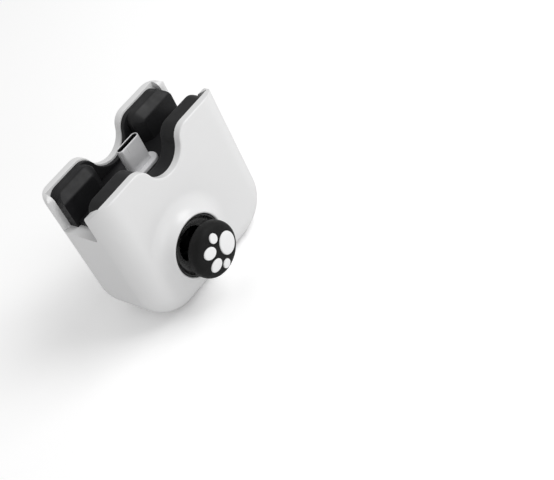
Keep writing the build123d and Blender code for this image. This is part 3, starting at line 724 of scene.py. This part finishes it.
# %% [markdown]
# The charging socket shows through a window in the right side. It is a long hexagon with pointed ends,
# and the same outline serves twice: slightly grown for the window, and as it is for the grey recess that
# fills it.

# %% Charging socket's window
bezel_half_length = 6.0
bezel_half_flat = 3.6
bezel_half_width = 2.9
window_clearance = 0.05


def hexagon(grow):
    """The long hexagon round the socket, grown evenly; depth and height."""
    flat, side, tip = bezel_half_flat + grow / 2, bezel_half_width + grow, bezel_half_length + grow
    corners = [(0, tip), (side, flat), (side, -flat), (0, -tip), (-side, -flat), (-side, flat)]
    return [(socket_y + across, socket_z + up) for across, up in corners]


def window_tool():
    """The window in the right wall."""
    return prism(hexagon(window_clearance), X, half_width - wall - tool_margin / 2, wall + 3 * tool_margin)


print("window", 2 * (bezel_half_length + window_clearance), "mm long, middle at height", round(socket_z, 2))

# %% [markdown]
# After the cuts the walls' upper rim is knife-sharp, which no moulding is, so it gets a quarter of a
# millimetre of rounding. The rule that picks its edges keeps away from the end lips. Several edges meet
# there at odd angles, and a bevel would leave shards.

# %% Front shell: cut, rounded and finished
rim_softness = 0.25
rim_over_floor = 1.5
rim_off_lips = 0.4
rim_off_face = rim_rounding + 0.2


def on_rim(place):
    """Whether an edge belongs to the walls' upper rim, away from the end lips."""
    return place.z > slot_floor + rim_over_floor and abs(place.x) < half_width - back_lip_wall - rim_off_lips


bm = carve(front_skin(), slot_end_tool(), slot_tool(), plug_hole_tool(), window_tool())
rounded(bm, lambda p: on_rim(p) and p.y > front + rim_off_face, rim_softness)
finished(bm, "front_casing", "base", white_plastic, "front_shell")

# %% [markdown]
# The back shell is the same kind of skin, run rearwards: rounded sides, a flat back and the same lining.
# Four tubes with deep screw wells stand inside it, as in any such clamped pair of shells. The tubes are
# joined to the skin first and the wells are drilled afterwards, so their walls come out even. A well's
# chamfer is part of its drill, since a bevel on a fine round edge easily leaves spikes.

# %% Back shell: skin and drills
back_rounding = 6.7
back_centre = 1.0
tube_radius = 3.0
well_radius = 2.2
well_chamfer = 0.2
well_step = 0.12
screw_bore = 1.15
head_radius = 1.9
head_height = 1.3
low_screws_aside = 17.6
screw_low, screw_high = box_mm("shell_screws")
well_floor = screw_high.y - head_height
board_back = box_mm("main_board")[1].y
high_screws = (screw_low.x + head_radius, screw_high.z - head_radius)
low_screws = (low_screws_aside, screw_low.z + head_radius)
screw_places = [(side * abs(x), z) for x, z in (high_screws, low_screws) for side in (-1, 1)]


def back_depth(x, z, from_rim):
    """Depth of the back face, with its wide side rounding and the small rounding of the rim."""
    return back - max(round_over(inside_block(x, z), back_rounding), round_over(from_rim, rim_rounding))


def back_skin():
    """The back shell as one closed skin, before the slot is cut."""
    bm, joint, loop = outer_skin(1, back_depth, back_centre)
    close_loop(bm, loop)
    close_loop(bm, hollow_rings(bm, joint, back - wall))
    return bm


def rod(x, z, radius, start, end):
    """A closed round rod along the depth."""
    return prism(arc(x, z, radius, 0, -360, round_step)[:-1], Y, start, end - start)


def well_tool(x, z):
    """A deep round screw well with a small chamfer at its mouth."""
    circle = arc(0, 0, 1, 0, -360, well_step)[:-1]

    def ring(radius, depth):
        return lambda i: (x + radius * circle[i][0], depth, z + radius * circle[i][1])

    bm, loop = start_loop(range(len(circle)), ring(well_radius, well_floor))
    close_loop(bm, loop)
    loop = next_ring(bm, loop, ring(well_radius, back - well_chamfer))
    loop = next_ring(bm, loop, ring(well_radius + 2 * well_chamfer, back + well_chamfer))
    close_loop(bm, loop)
    return bm


print("screws at", screw_places, "well floor", round(well_floor, 3))

# %% [markdown]
# Now the back shell goes through the same tools as the front one, and through the two that round its
# lips. At the end its back is made truly flat: a point that a cut left a hair behind it is put on it.

# %% Back shell: cut, drilled and finished
lip_edges = [lip_edge_tool(side) for side in (1, -1)]
tubes = [rod(x, z, tube_radius, board_back, back - wall / 2) for x, z in screw_places]
bm = carve(back_skin(), slot_end_tool(), *lip_edges, slot_tool(), plug_hole_tool(), window_tool())
bm = carve(bm, *tubes, operation="UNION")
for x, z in screw_places:
    bore = rod(x, z, screw_bore, board_back - tool_margin, well_floor + tool_margin)
    bm = carve(bm, well_tool(x, z), bore)
rounded(bm, lambda p: on_rim(p) and p.y < back - rim_off_face, rim_softness)
for vert in bm.verts:
    vert.co.y = min(vert.co.y, back)
finished(bm, "back_casing", "base", white_plastic, "back_shell")

# %% [markdown]
# Pads, plug and recess are layers over an outline. A profile lists how far each ring is drawn in and how
# high it stands, much as a knife would be led round the edge. Rubber and plastic leave their mould with
# soft edges, so the profiles turn their corners slowly.

# %% Helpers for layers over an outline
def layered(points, profile, axis, start, towards=1, ends=True):
    """Rings over an outline across an axis; the profile lists (inset, height), counted from start."""
    ways = outward(points)

    def rule(inset, height):
        def place(i):
            flat = [c - way * inset for c, way in zip(points[i], ways[i])]
            return (*flat[:axis], start + towards * height, *flat[axis:])
        return place

    bm, first = start_loop(range(len(points)), rule(*profile[0]))
    loop = first
    for inset, height in profile[1:]:
        loop = next_ring(bm, loop, rule(inset, height))
    if ends:
        close_loop(bm, first)
        close_loop(bm, loop)
    return bm


def plate(height, rounding, steps=4):
    """Profile of a plate with a soft upper edge."""
    return [(0, 0)] + eased((0, height), (0, 1), (1, 0), rounding, steps)


print("a plate's profile, 2 mm high:", [tuple(round(c, 2) for c in p) for p in plate(2.0, 0.5)])

# %% [markdown]
# The black pads are moulded silicone, glued to the walls of the slot. The front one is a thick even strip
# that follows ears and notch. The one behind starts as a thin sheet of the same kind.

# %% Front pad and back sheet
front_pad_half, front_pad_face, pad_top = box_mm("front_pad")[1]
back_pad_half = box_mm("back_pad")[1].x
back_block_face = box_mm("back_pad")[0].y
floor_pad_top = floor_high.z
sheet = 1.2
sheet_rounding = 0.35
strip = front_pad_face - slot_front
strip_rounding = 0.7
pad_step = 0.7

profile = plate(strip, strip_rounding)
profile.insert(1, (0, strip / 2))
bm = layered(eared(front_pad_half, pad_top, slot_floor, step=pad_step), profile, Y, slot_front)
finished(bm, "front_pad_strip", "base", black_silicone, "front_pad")

back_pad_outline = eared(back_pad_half, pad_top, floor_pad_top, step=pad_step)
bm = layered(back_pad_outline, plate(sheet, sheet_rounding), Y, slot_back, towards=-1)
finished(bm, "back_pad_sheet", "base", black_silicone, "back_pad")

# %% [markdown]
# Two high blocks on the sheet grip the phone, and their wide chamfers guide it in. A block is drawn past
# the sheet's end and bottom and then limited to the sheet's outline, so its chamfer runs out there as on
# the real pad. Its foot goes down to the slot's floor beside the floor's lining. The left block is the
# right one, mirrored.

# %% Gripping blocks of the back pad
block_inner = 8.6
block_corner = 3.2
block_corner_step = 0.4
block_chamfer = 2.4
block_softness = 0.4
block_past = block_chamfer + block_softness + 0.2
foot_overlap = 0.5
foot_setback = 0.3
foot_gap = 0.02
sheet_face = slot_back - sheet
thick = sheet_face - back_block_face


def block_outline_right():
    """Outline of the right block, drawn past its outer end and its bottom, round above its inner end."""
    end, base = back_pad_half + block_past, floor_pad_top - block_past
    middle = (block_inner + block_corner, pad_top - block_corner)
    points = arc(*middle, block_corner, 180, -90, block_corner_step)
    return evened(points + [(end, pad_top), (end, base), (block_inner, base)], pad_step)


def foot_tool():
    """The block's foot: it overlaps the block, and leaves a gap under the sheet."""
    inside, below, above = sheet_face - foot_setback, floor_pad_top - foot_gap, floor_pad_top + foot_overlap
    points = [(back_block_face, slot_floor), (back_block_face, above), (inside, above)]
    points += [(inside, below), (slot_back, below), (slot_back, slot_floor)]
    return prism(points, X, floor_high.x, back_pad_half - floor_high.x)


profile = [(0, 0)] + eased((0, thick - block_chamfer), (0, 1), (1, 1), block_softness)
profile += eased((block_chamfer, thick), (1, 1), (1, 0), block_softness)
for side, name in ((1, "right"), (-1, "left")):
    limits = prism(back_pad_outline, Y, back_block_face - tool_margin, thick + tool_margin)
    bm = layered(block_outline_right(), profile, Y, sheet_face, towards=-1)
    bm = carve(bm, limits, operation="INTERSECT")
    bm = carve(bm, foot_tool(), operation="UNION")
    bmesh.ops.scale(bm, vec=(side, 1, 1), verts=bm.verts)
    finished(bm, "back_pad_block_" + name, "base", black_silicone, "back_pad")

# %% [markdown]
# The plug's shell is drawn sheet steel, bent into a flat tube. A profile led round a bar with round ends
# gives outside, rim and inside in one go, and the rim is soft where the tube was drawn. Fine strokes along
# the tube drive its gloss. It is only partly metallic, because it is a satin plating that stays light.

# %% Plug
def stadium(across, up, length, width, end_step=0.25, side_step=0.6):
    """Outline of a bar with round ends, with its middle at (across, up), clockwise."""
    end = width / 2
    half = length / 2 - end
    points = arc(across + half, up, end, 90, -180, end_step)
    return evened(points + arc(across - half, up, end, -90, -180, end_step), side_step)


def brushed_metal(name, first, second, gloss, stretch, bareness=1.0):
    """Metal with fine strokes along one way and a drifting tone; a low bareness makes it a satin plating."""
    material, tree, shader, place = new_material(name)
    set_inputs(shader, {"Metallic": bareness})
    tone = noise(tree, place, metal_drift, detail=3)
    tree.links.new(blend_colours(tree, tone, first, second), shader.inputs["Base Color"])
    strokes = noise(tree, place, metal_strokes, detail=4, stretch=stretch)
    tree.links.new(spread(tree, strokes, *gloss), shader.inputs["Roughness"])
    add_bump(tree, shader, strokes, stroke_height)
    return material


metal_drift, metal_strokes = 180, 900
stroke_height = 1.2 * MICRON
plug_steel = brushed_metal(
    "plug_steel", grey(0.70, 0.01), grey(0.79, 0.01), gloss=(0.26, 0.40), stretch=(1, 1, 0.08),
    bareness=0.35,
)
plug_wide, plug_thick, plug_tall = plug_high - plug_low
plug_middle = 0.6 * plug_tall
shell_wall = 0.3
shell_crown = 0.6 * shell_wall
rim_curve, rim_draft = 0.5, 0.02
mouth_softness = 0.15
profile = [(0, 0), (0, plug_middle)]
rim_start, rim_end = (0, plug_tall - rim_curve), (shell_wall / 2, plug_tall)
profile += soft_corner(rim_start, (rim_draft, plug_tall), rim_end, steps=6)
profile += soft_corner(
    (shell_crown, plug_tall), (shell_wall, plug_tall), (shell_wall, plug_tall - mouth_softness),
)
profile += [(shell_wall, plug_middle), (shell_wall, 0), (0, 0)]
bm = layered(stadium(0, plug_y, plug_wide, plug_thick), profile, Z, plug_low.z, ends=False)
finished(bm, "plug_steel_shell", "base", plug_steel, "plug_shell")

# %% [markdown]
# A light grey lozenge holds the plug upright in the slot's floor. It is a small moulding with a rounded
# top edge, made as a plate and pierced for the plug. The floor itself is lined with a flat strip of the
# same silicone as the pads, with a hole round the lozenge.

# %% Lozenge and floor lining
collar_low, collar_high = box_mm("plug_collar")
collar_long, collar_wide, collar_tall = collar_high - collar_low
collar_outline = stadium(0, plug_y, collar_long, collar_wide)
collar_rounding = 0.5
collar_clearance = 0.1
shaft_start, shaft_length = slot_floor - 2 * tool_margin, 9.0
lining_softness = 0.15
near_top, off_ends = 0.01, 0.1

collar_plastic = plastic(
    "collar_plastic", grey(0.68, 0.01), grey(0.74, 0.01), gloss=(0.34, 0.46), grain=(1400, 4), drift=150,
)
bm = layered(collar_outline, plate(collar_tall, collar_rounding), Z, collar_low.z)
plug_room = stadium(0, plug_y, plug_wide + collar_clearance, plug_thick + collar_clearance)
bm = carve(bm, prism(plug_room, Z, shaft_start, shaft_length))
finished(bm, "plug_lozenge", "base", collar_plastic, "plug_collar")

half, near, far = floor_high.x, floor_low.y, floor_high.y
corners = [(-half, near), (half, near), (half, far), (-half, far)]
bm = prism(corners, Z, slot_floor, floor_pad_top - slot_floor)
bm = carve(bm, prism(collar_outline, Z, shaft_start, shaft_length))
rounded(bm, lambda p: p.z > floor_pad_top - near_top and abs(p.x) < half - off_ends, lining_softness)
finished(bm, "floor_lining", "base", black_silicone, "floor_pad")

# %% [markdown]
# The dish is a glossy black funnel inside the mound. It hides the works and leaves the stick room to
# tilt. It is a turned shape: a profile of radius and depth, spun round the stick's axis. The profile runs
# from the flange forward to the rim, down the funnel's curve to the opening, and back behind it.

# %% Dish
def turned(profile, steps=120):
    """A profile of (radius, depth) spun round the stick's axis."""
    bm = bmesh.new()
    verts = [bm.verts.new((stick.x + radius, depth, stick.y)) for radius, depth in profile]
    edges = [bm.edges.new(pair) for pair in zip(verts, verts[1:])]
    if profile[0][0] > 0:
        edges.append(bm.edges.new((verts[-1], verts[0])))
    bmesh.ops.spin(
        bm, geom=verts + edges, cent=(stick.x, 0, stick.y), axis=(0, 1, 0), dvec=(0, 0, 0),
        angle=2 * math.pi, steps=steps, use_merge=True, use_duplicate=False,
    )
    return bm


dish_gloss = plastic("dish_gloss", grey(0.010), grey(0.015), gloss=(0.22, 0.34), grain=(700, 3), drift=90)
mouth = front - mound_height
dish_low, dish_high = box_mm("stick_dish")
dish_face, dish_back = dish_low.y, dish_high.y
dish_radius = hole_radius - 0.2
dish_softness = 0.25
flange_radius = (dish_high.x - dish_low.x) / 2
flange_face = mouth + 3.1
funnel_start = (dish_radius - 0.4, dish_face + 0.02)
funnel_bend = (dish_radius - 0.95, mouth + 2.5)
opening_radius = 5.1
opening_face = mouth + 2.7
funnel_end = (opening_radius + 0.2, opening_face - 0.02)
lip_across, lip_deep = 0.1, 0.15
throat_end = mouth + 4.4

profile = [(dish_radius, flange_face)]
profile += eased((dish_radius, dish_face), (0, -1), (-1, 0), dish_softness)
profile += soft_corner(funnel_start, funnel_bend, funnel_end, steps=16)
profile += soft_corner(
    (opening_radius + lip_across, opening_face), (opening_radius, opening_face),
    (opening_radius, opening_face + lip_deep),
)
profile += [(opening_radius, throat_end), (dish_radius, dish_back), (flange_radius, dish_back)]
profile += [(flange_radius, flange_face)]
finished(turned(profile), "dish_funnel", "base", dish_gloss, "stick_dish", smooth_below=50)

# %% [markdown]
# The cap is a rubber mushroom with a slightly domed top. Its underside is hollow, so that its rim passes
# over the mound's lip when the stick tilts, and a stem with a bore sits on the stick's post. It is turned
# as well, and it is finished one step later, because the paw print is let into it.

# %% Cap
cap_rubber = plastic(
    "cap_rubber", grey(0.005), grey(0.008), gloss=(0.48, 0.62), grain=(3200, 14), drift=160, shine=0.18,
)
cap_low, cap_high = box_mm("stick_cap")
cap_radius = (cap_high.x - cap_low.x) / 2
cap_top = cap_low.y
cap_under = cap_top + 4.9
crown = 0.9
dome_radius = (cap_radius**2 + crown**2) / (2 * crown)
top_rounding = 2.0
side_bulge = 0.12
under_rounding = 1.2
hollow_radius = 6.2
hollow_softness = 0.2
hollow_roof = cap_under - 0.9
stem_radius = 2.6
bore_radius = 1.65
bore_end = cap_top + 2.0
dome_spacing = 0.5


def dome(distance, proud=0.0):
    """Depth of the cap's domed top at a distance from its axis."""
    return cap_top + dome_radius - math.sqrt((dome_radius + proud) ** 2 - distance**2)


edge = cap_radius - top_rounding
side_start = cap_top + crown + top_rounding
side_corner = (cap_radius - side_bulge, dome(cap_radius))
profile = [(dome_spacing * i, dome(dome_spacing * i)) for i in range(12)]
profile += soft_corner((edge, dome(edge)), side_corner, (cap_radius, side_start), steps=9)
profile += eased((cap_radius, cap_under), (0, 1), (-1, 0), under_rounding, steps=6)
profile += eased((hollow_radius, cap_under), (-1, 0), (0, -1), hollow_softness, steps=3)
profile += [(hollow_radius, hollow_roof), (stem_radius, hollow_roof), (stem_radius, cap_high.y)]
profile += [(bore_radius, cap_high.y), (bore_radius, bore_end), (0, bore_end)]
cap = turned(profile)
bmesh.ops.remove_doubles(cap, verts=cap.verts, dist=shortest_edge)
print("cap radius", round(cap_radius, 2), "dome radius", round(dome_radius, 1))

# %% [markdown]
# The paw print is five white pads, each pressed into a pocket of the rubber. They stand a little proud,
# follow the cap's dome and have a soft edge, so light catches each one by itself. The print lies on its
# side: the palm is on the right, and the toes above the middle mirror those below it.

# %% Paw pads
pad_proud = 0.35
pad_softness = 0.4
pad_flat_share = 0.82
pocket_floor = cap_top + 1.2
pocket_gap = 0.05
pocket_reach = 5.0
inner_left, inner_up = 3.1, 2.35
inner_turn = math.degrees(math.atan2(inner_up, inner_left)) / 2
toes = {
    "inner_toe_": (-inner_left, inner_up, (2.1, 1.8), inner_turn),
    "outer_toe_": (0.1, 4.9, (1.35, 1.5), 0.0),
}
pads = {"palm_pad_oval": ((3.3, 0.0), (3.0, 3.6), 0.0, "palm_pad")}
for side, word in ((1, "upper"), (-1, "lower")):
    for toe, (across, up, radii, degrees) in toes.items():
        pads[toe + word] = ((across, side * up), radii, -side * degrees, "toe_pads")


def oval(place, radii, degrees, grow=0.0, count=56):
    """Outline of a turned ellipse on the cap, clockwise."""
    turn = Matrix.Rotation(math.radians(degrees), 2)
    angles = [-2 * math.pi * i / count for i in range(count)]
    level = [Vector(((radii[0] + grow) * math.cos(a), (radii[1] + grow) * math.sin(a))) for a in angles]
    return [stick + Vector(place) + turn @ p for p in level]


def paw_pad(place, radii, degrees):
    """One pad, from the floor of its pocket to its domed top."""
    outline, centre = oval(place, radii, degrees), stick + Vector(place)

    def ring(share, drop):
        def lay(i):
            flat = centre.lerp(outline[i], share)
            depth = pocket_floor if drop is None else dome((flat - stick).length, pad_proud) + drop
            return (flat.x, depth, flat.y)
        return lay

    bm, first = start_loop(range(len(outline)), ring(1, None))
    close_loop(bm, first)
    loop = first
    for share, drop in soft_corner((1, pad_softness), (1, 0), (pad_flat_share, 0), steps=6):
        loop = next_ring(bm, loop, ring(share, drop))
    for share in (0.6, 0.4, 0.2):
        loop = next_ring(bm, loop, ring(share, 0))
    close_loop(bm, loop)
    return bm


pad_white = plastic(
    "pad_white", grey(0.91, 0.005), grey(0.95), gloss=(0.30, 0.42), grain=(1200, 4), drift=120,
)
for place, radii, degrees, node in pads.values():
    outline = oval(place, radii, degrees, pocket_gap)
    cap = carve(cap, prism(outline, Y, pocket_floor, -pocket_reach))
finished(cap, "cap_mushroom", "stick", cap_rubber, "stick_cap")
for name, (place, radii, degrees, node) in pads.items():
    finished(paw_pad(place, radii, degrees), name, "stick", pad_white, node)

# %% [markdown]
# Small hidden parts keep the frame's own shapes, because nobody sees more of them than a glimpse through
# the dish, the plug's mouth or the screw wells. Each still gets the surface of what it is made of: black
# mouldings, blued sheet, gilded contacts, solder-masked board with its chips, plated screws. The black
# mouldings and the blued sheet are also made darker than such parts really are: that is painted shade,
# so that the depths behind the dish read near black.

# %% Finishes of the frame's own parts
# Painted shade: this black plastic is far darker and duller than real plastic, so the hole behind the dish
# reads black.
dark_plastic_painted_shade = plastic(
    "dark_plastic_painted_shade", grey(0.002), grey(0.004), gloss=(0.50, 0.65), grain=(2200, 6), drift=200, shine=0.06,
)
ivory_plastic = plastic(
    "ivory_plastic", (0.60, 0.59, 0.54), (0.66, 0.65, 0.60), gloss=(0.42, 0.55), grain=(1800, 5), drift=200,
)
chip_epoxy = plastic(
    "chip_epoxy", grey(0.022, 0.002), grey(0.032, 0.002), gloss=(0.55, 0.70), grain=(4200, 10), drift=300,
)
ceramic = plastic(
    "ceramic", (0.34, 0.24, 0.14), (0.42, 0.31, 0.19), gloss=(0.40, 0.55), grain=(3000, 5), drift=500,
)
solder_mask = plastic(
    "solder_mask", (0.010, 0.085, 0.040), (0.016, 0.115, 0.055), gloss=(0.22, 0.38), grain=(1500, 8),
    drift=220, coat=0.3,
)
# Painted shade: the blued sheet is made near black, darker than blued steel is, so the hole behind the dish
# reads black.
blued_sheet_painted_shade = brushed_metal(
    "blued_sheet_painted_shade", grey(0.004, 0.001), grey(0.008, 0.001), gloss=(0.45, 0.60), stretch=(1, 0.1, 1),
)
gilding = brushed_metal(
    "gilding", (0.80, 0.58, 0.24), (0.88, 0.68, 0.32), gloss=(0.20, 0.32), stretch=(1, 1, 0.1),
)
plated_steel = brushed_metal(
    "plated_steel", grey(0.42, 0.01), grey(0.52, 0.01), gloss=(0.28, 0.45), stretch=(1, 0.1, 1),
)
mouldings = ("plug_insert", "socket_tongue", "side_sensor", "lower_sensor")
mouldings += ("stick_base", "stick_shaft", "tilt_yoke", "cross_rocker")
own_finishes = (
    (dark_plastic_painted_shade, mouldings),
    (ivory_plastic, ("side_wiper", "lower_wiper")),
    (blued_sheet_painted_shade, ("stick_frame", "spring_plate")),
    (plated_steel, ("stick_spring", "stick_pin", "shell_screws")),
    (plug_steel, ("socket_shell",)),
    (gilding, ("plug_contacts",)),
    (solder_mask, ("main_board",)),
    (chip_epoxy, ("controller_chip", "power_chip")),
    (ceramic, ("board_capacitors",)),
)
for finish, parts in own_finishes:
    for part in parts:
        mesh = frame["nodes"][part].data
        mesh.materials.clear()
        mesh.materials.append(finish)
    print(finish.name, "on", *parts)

# %% [markdown]
# The charging socket sits in a grey recess, a long hexagon with pointed ends. It is a separate insert of
# matt plastic, so its edges are only lightly broken. It is drawn as layers over its outline too, first
# the outside and then down into the recess, and the socket's hole is cut through its floor.

# %% Socket recess
bezel_start = half_width - wall
bezel_high = box_mm("socket_bezel")[1]
bezel_tall = bezel_high.x - bezel_start
bezel_rim = 0.5
bezel_recess = 1.2
bezel_draft = 0.15
bezel_clearance = 0.1
broken = 0.12

bezel_grey = plastic(
    "bezel_grey", (0.075, 0.077, 0.082), (0.098, 0.100, 0.106), gloss=(0.42, 0.56), grain=(2400, 8),
    drift=170,
)
profile = plate(bezel_tall, broken, steps=3)
profile += eased((bezel_rim, bezel_tall), (1, 0), (0, -1), broken, steps=3)
profile += [(bezel_rim + bezel_draft, bezel_tall - bezel_recess)]
hole_long = socket_high.z - socket_low.z + bezel_clearance
hole_wide = socket_high.y - socket_low.y + bezel_clearance
hole = [(across, up) for up, across in stadium(socket_z, socket_y, hole_long, hole_wide)]
bm = layered(hexagon(0)[::-1], profile, X, bezel_start)
bm = carve(bm, prism(hole, X, bezel_start - tool_margin, wall + 2 * tool_margin))
finished(bm, "socket_recess", "base", bezel_grey, "socket_bezel")
print("recess stands", round(bezel_tall, 3), "over the inside of the wall")

# %% [markdown]
# The picture is a plain studio shot. Floor and surroundings look white to the camera only. The object is
# lit by a softer grey room, so its own tones stay readable, and the floor still takes its shadow. A mix
# node does it: it gives one grey to the camera's own rays and another one to all others.

# %% Floor and room
floor_white = 1.25
floor_tone = 0.88
floor_half_size = 3.0
floor_roughness = 0.9
room_tone = 0.54


def seen_by_camera(tree, seen, otherwise):
    """A grey for what the camera sees directly, and another one for all else."""
    path = tree.nodes.new("ShaderNodeLightPath")
    mix = tree.nodes.new("ShaderNodeMix")
    mix.data_type = "RGBA"
    set_inputs(mix, {"A": (*grey(otherwise), 1), "B": (*grey(seen), 1)})
    tree.links.new(path.outputs["Is Camera Ray"], mix.inputs["Factor"])
    return mix.outputs["Result"]


material, tree, shader, place = new_material("studio_floor")
tree.links.new(seen_by_camera(tree, floor_white, floor_tone), shader.inputs["Base Color"])
set_inputs(shader, {"Roughness": floor_roughness, "Specular IOR Level": 0.0})
bm = bmesh.new()
bmesh.ops.create_grid(bm, x_segments=1, y_segments=1, size=floor_half_size)
floor = as_object(bm, "studio_floor")
floor.data.materials.append(material)
floor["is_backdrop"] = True

world = bpy.data.worlds.new("studio_room")
bpy.context.scene.world = world
world.use_nodes = True
tree = world.node_tree
tree.links.new(seen_by_camera(tree, 1.0, room_tone), tree.nodes["Background"].inputs["Color"])
print("floor", 2 * floor_half_size, "m wide, room tone", room_tone)

# %% [markdown]
# One large soft lamp stands in front, above and to the right, and models the mound. A weaker one stands
# low in front, a little to the left, and keeps the lower edge from going grey. Both look at the object's
# middle. The plain view transform shows the colours as they are, so white stays white.

# %% Lamps
lamp_aim = Vector((0, 0, 0.022))
lamp_side = 0.40


def soft_lamp(name, place, power):
    """A square soft lamp that looks at the object's middle."""
    lamp_data = bpy.data.lights.new(name, "AREA")
    lamp_data.energy = power
    lamp_data.size = lamp_side
    lamp = bpy.data.objects.new(name, lamp_data)
    bpy.context.scene.collection.objects.link(lamp)
    lamp.location = place
    lamp.rotation_euler = (lamp_aim - Vector(place)).to_track_quat("-Z", "Y").to_euler()
    print(name, power, "watts,", round((lamp_aim - Vector(place)).length, 2), "m away")


soft_lamp("key_lamp", (0.32, -0.30, 0.50), power=1.8)
soft_lamp("fill_lamp", (-0.12, -0.60, 0.10), power=0.55)
bpy.context.scene.view_settings.view_transform = "Standard"

# %% [markdown]
# The last cell prints the dressed object's box beside the frame's box.

# %% Print the two boxes and finish
dressed_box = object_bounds()
sizes = {"cad": [list(corner) for corner in cad_box], "visual": [list(corner) for corner in dressed_box]}
for name, corners in sizes.items():
    print(name, [[round(c * 1000, 3) for c in corner] for corner in corners])
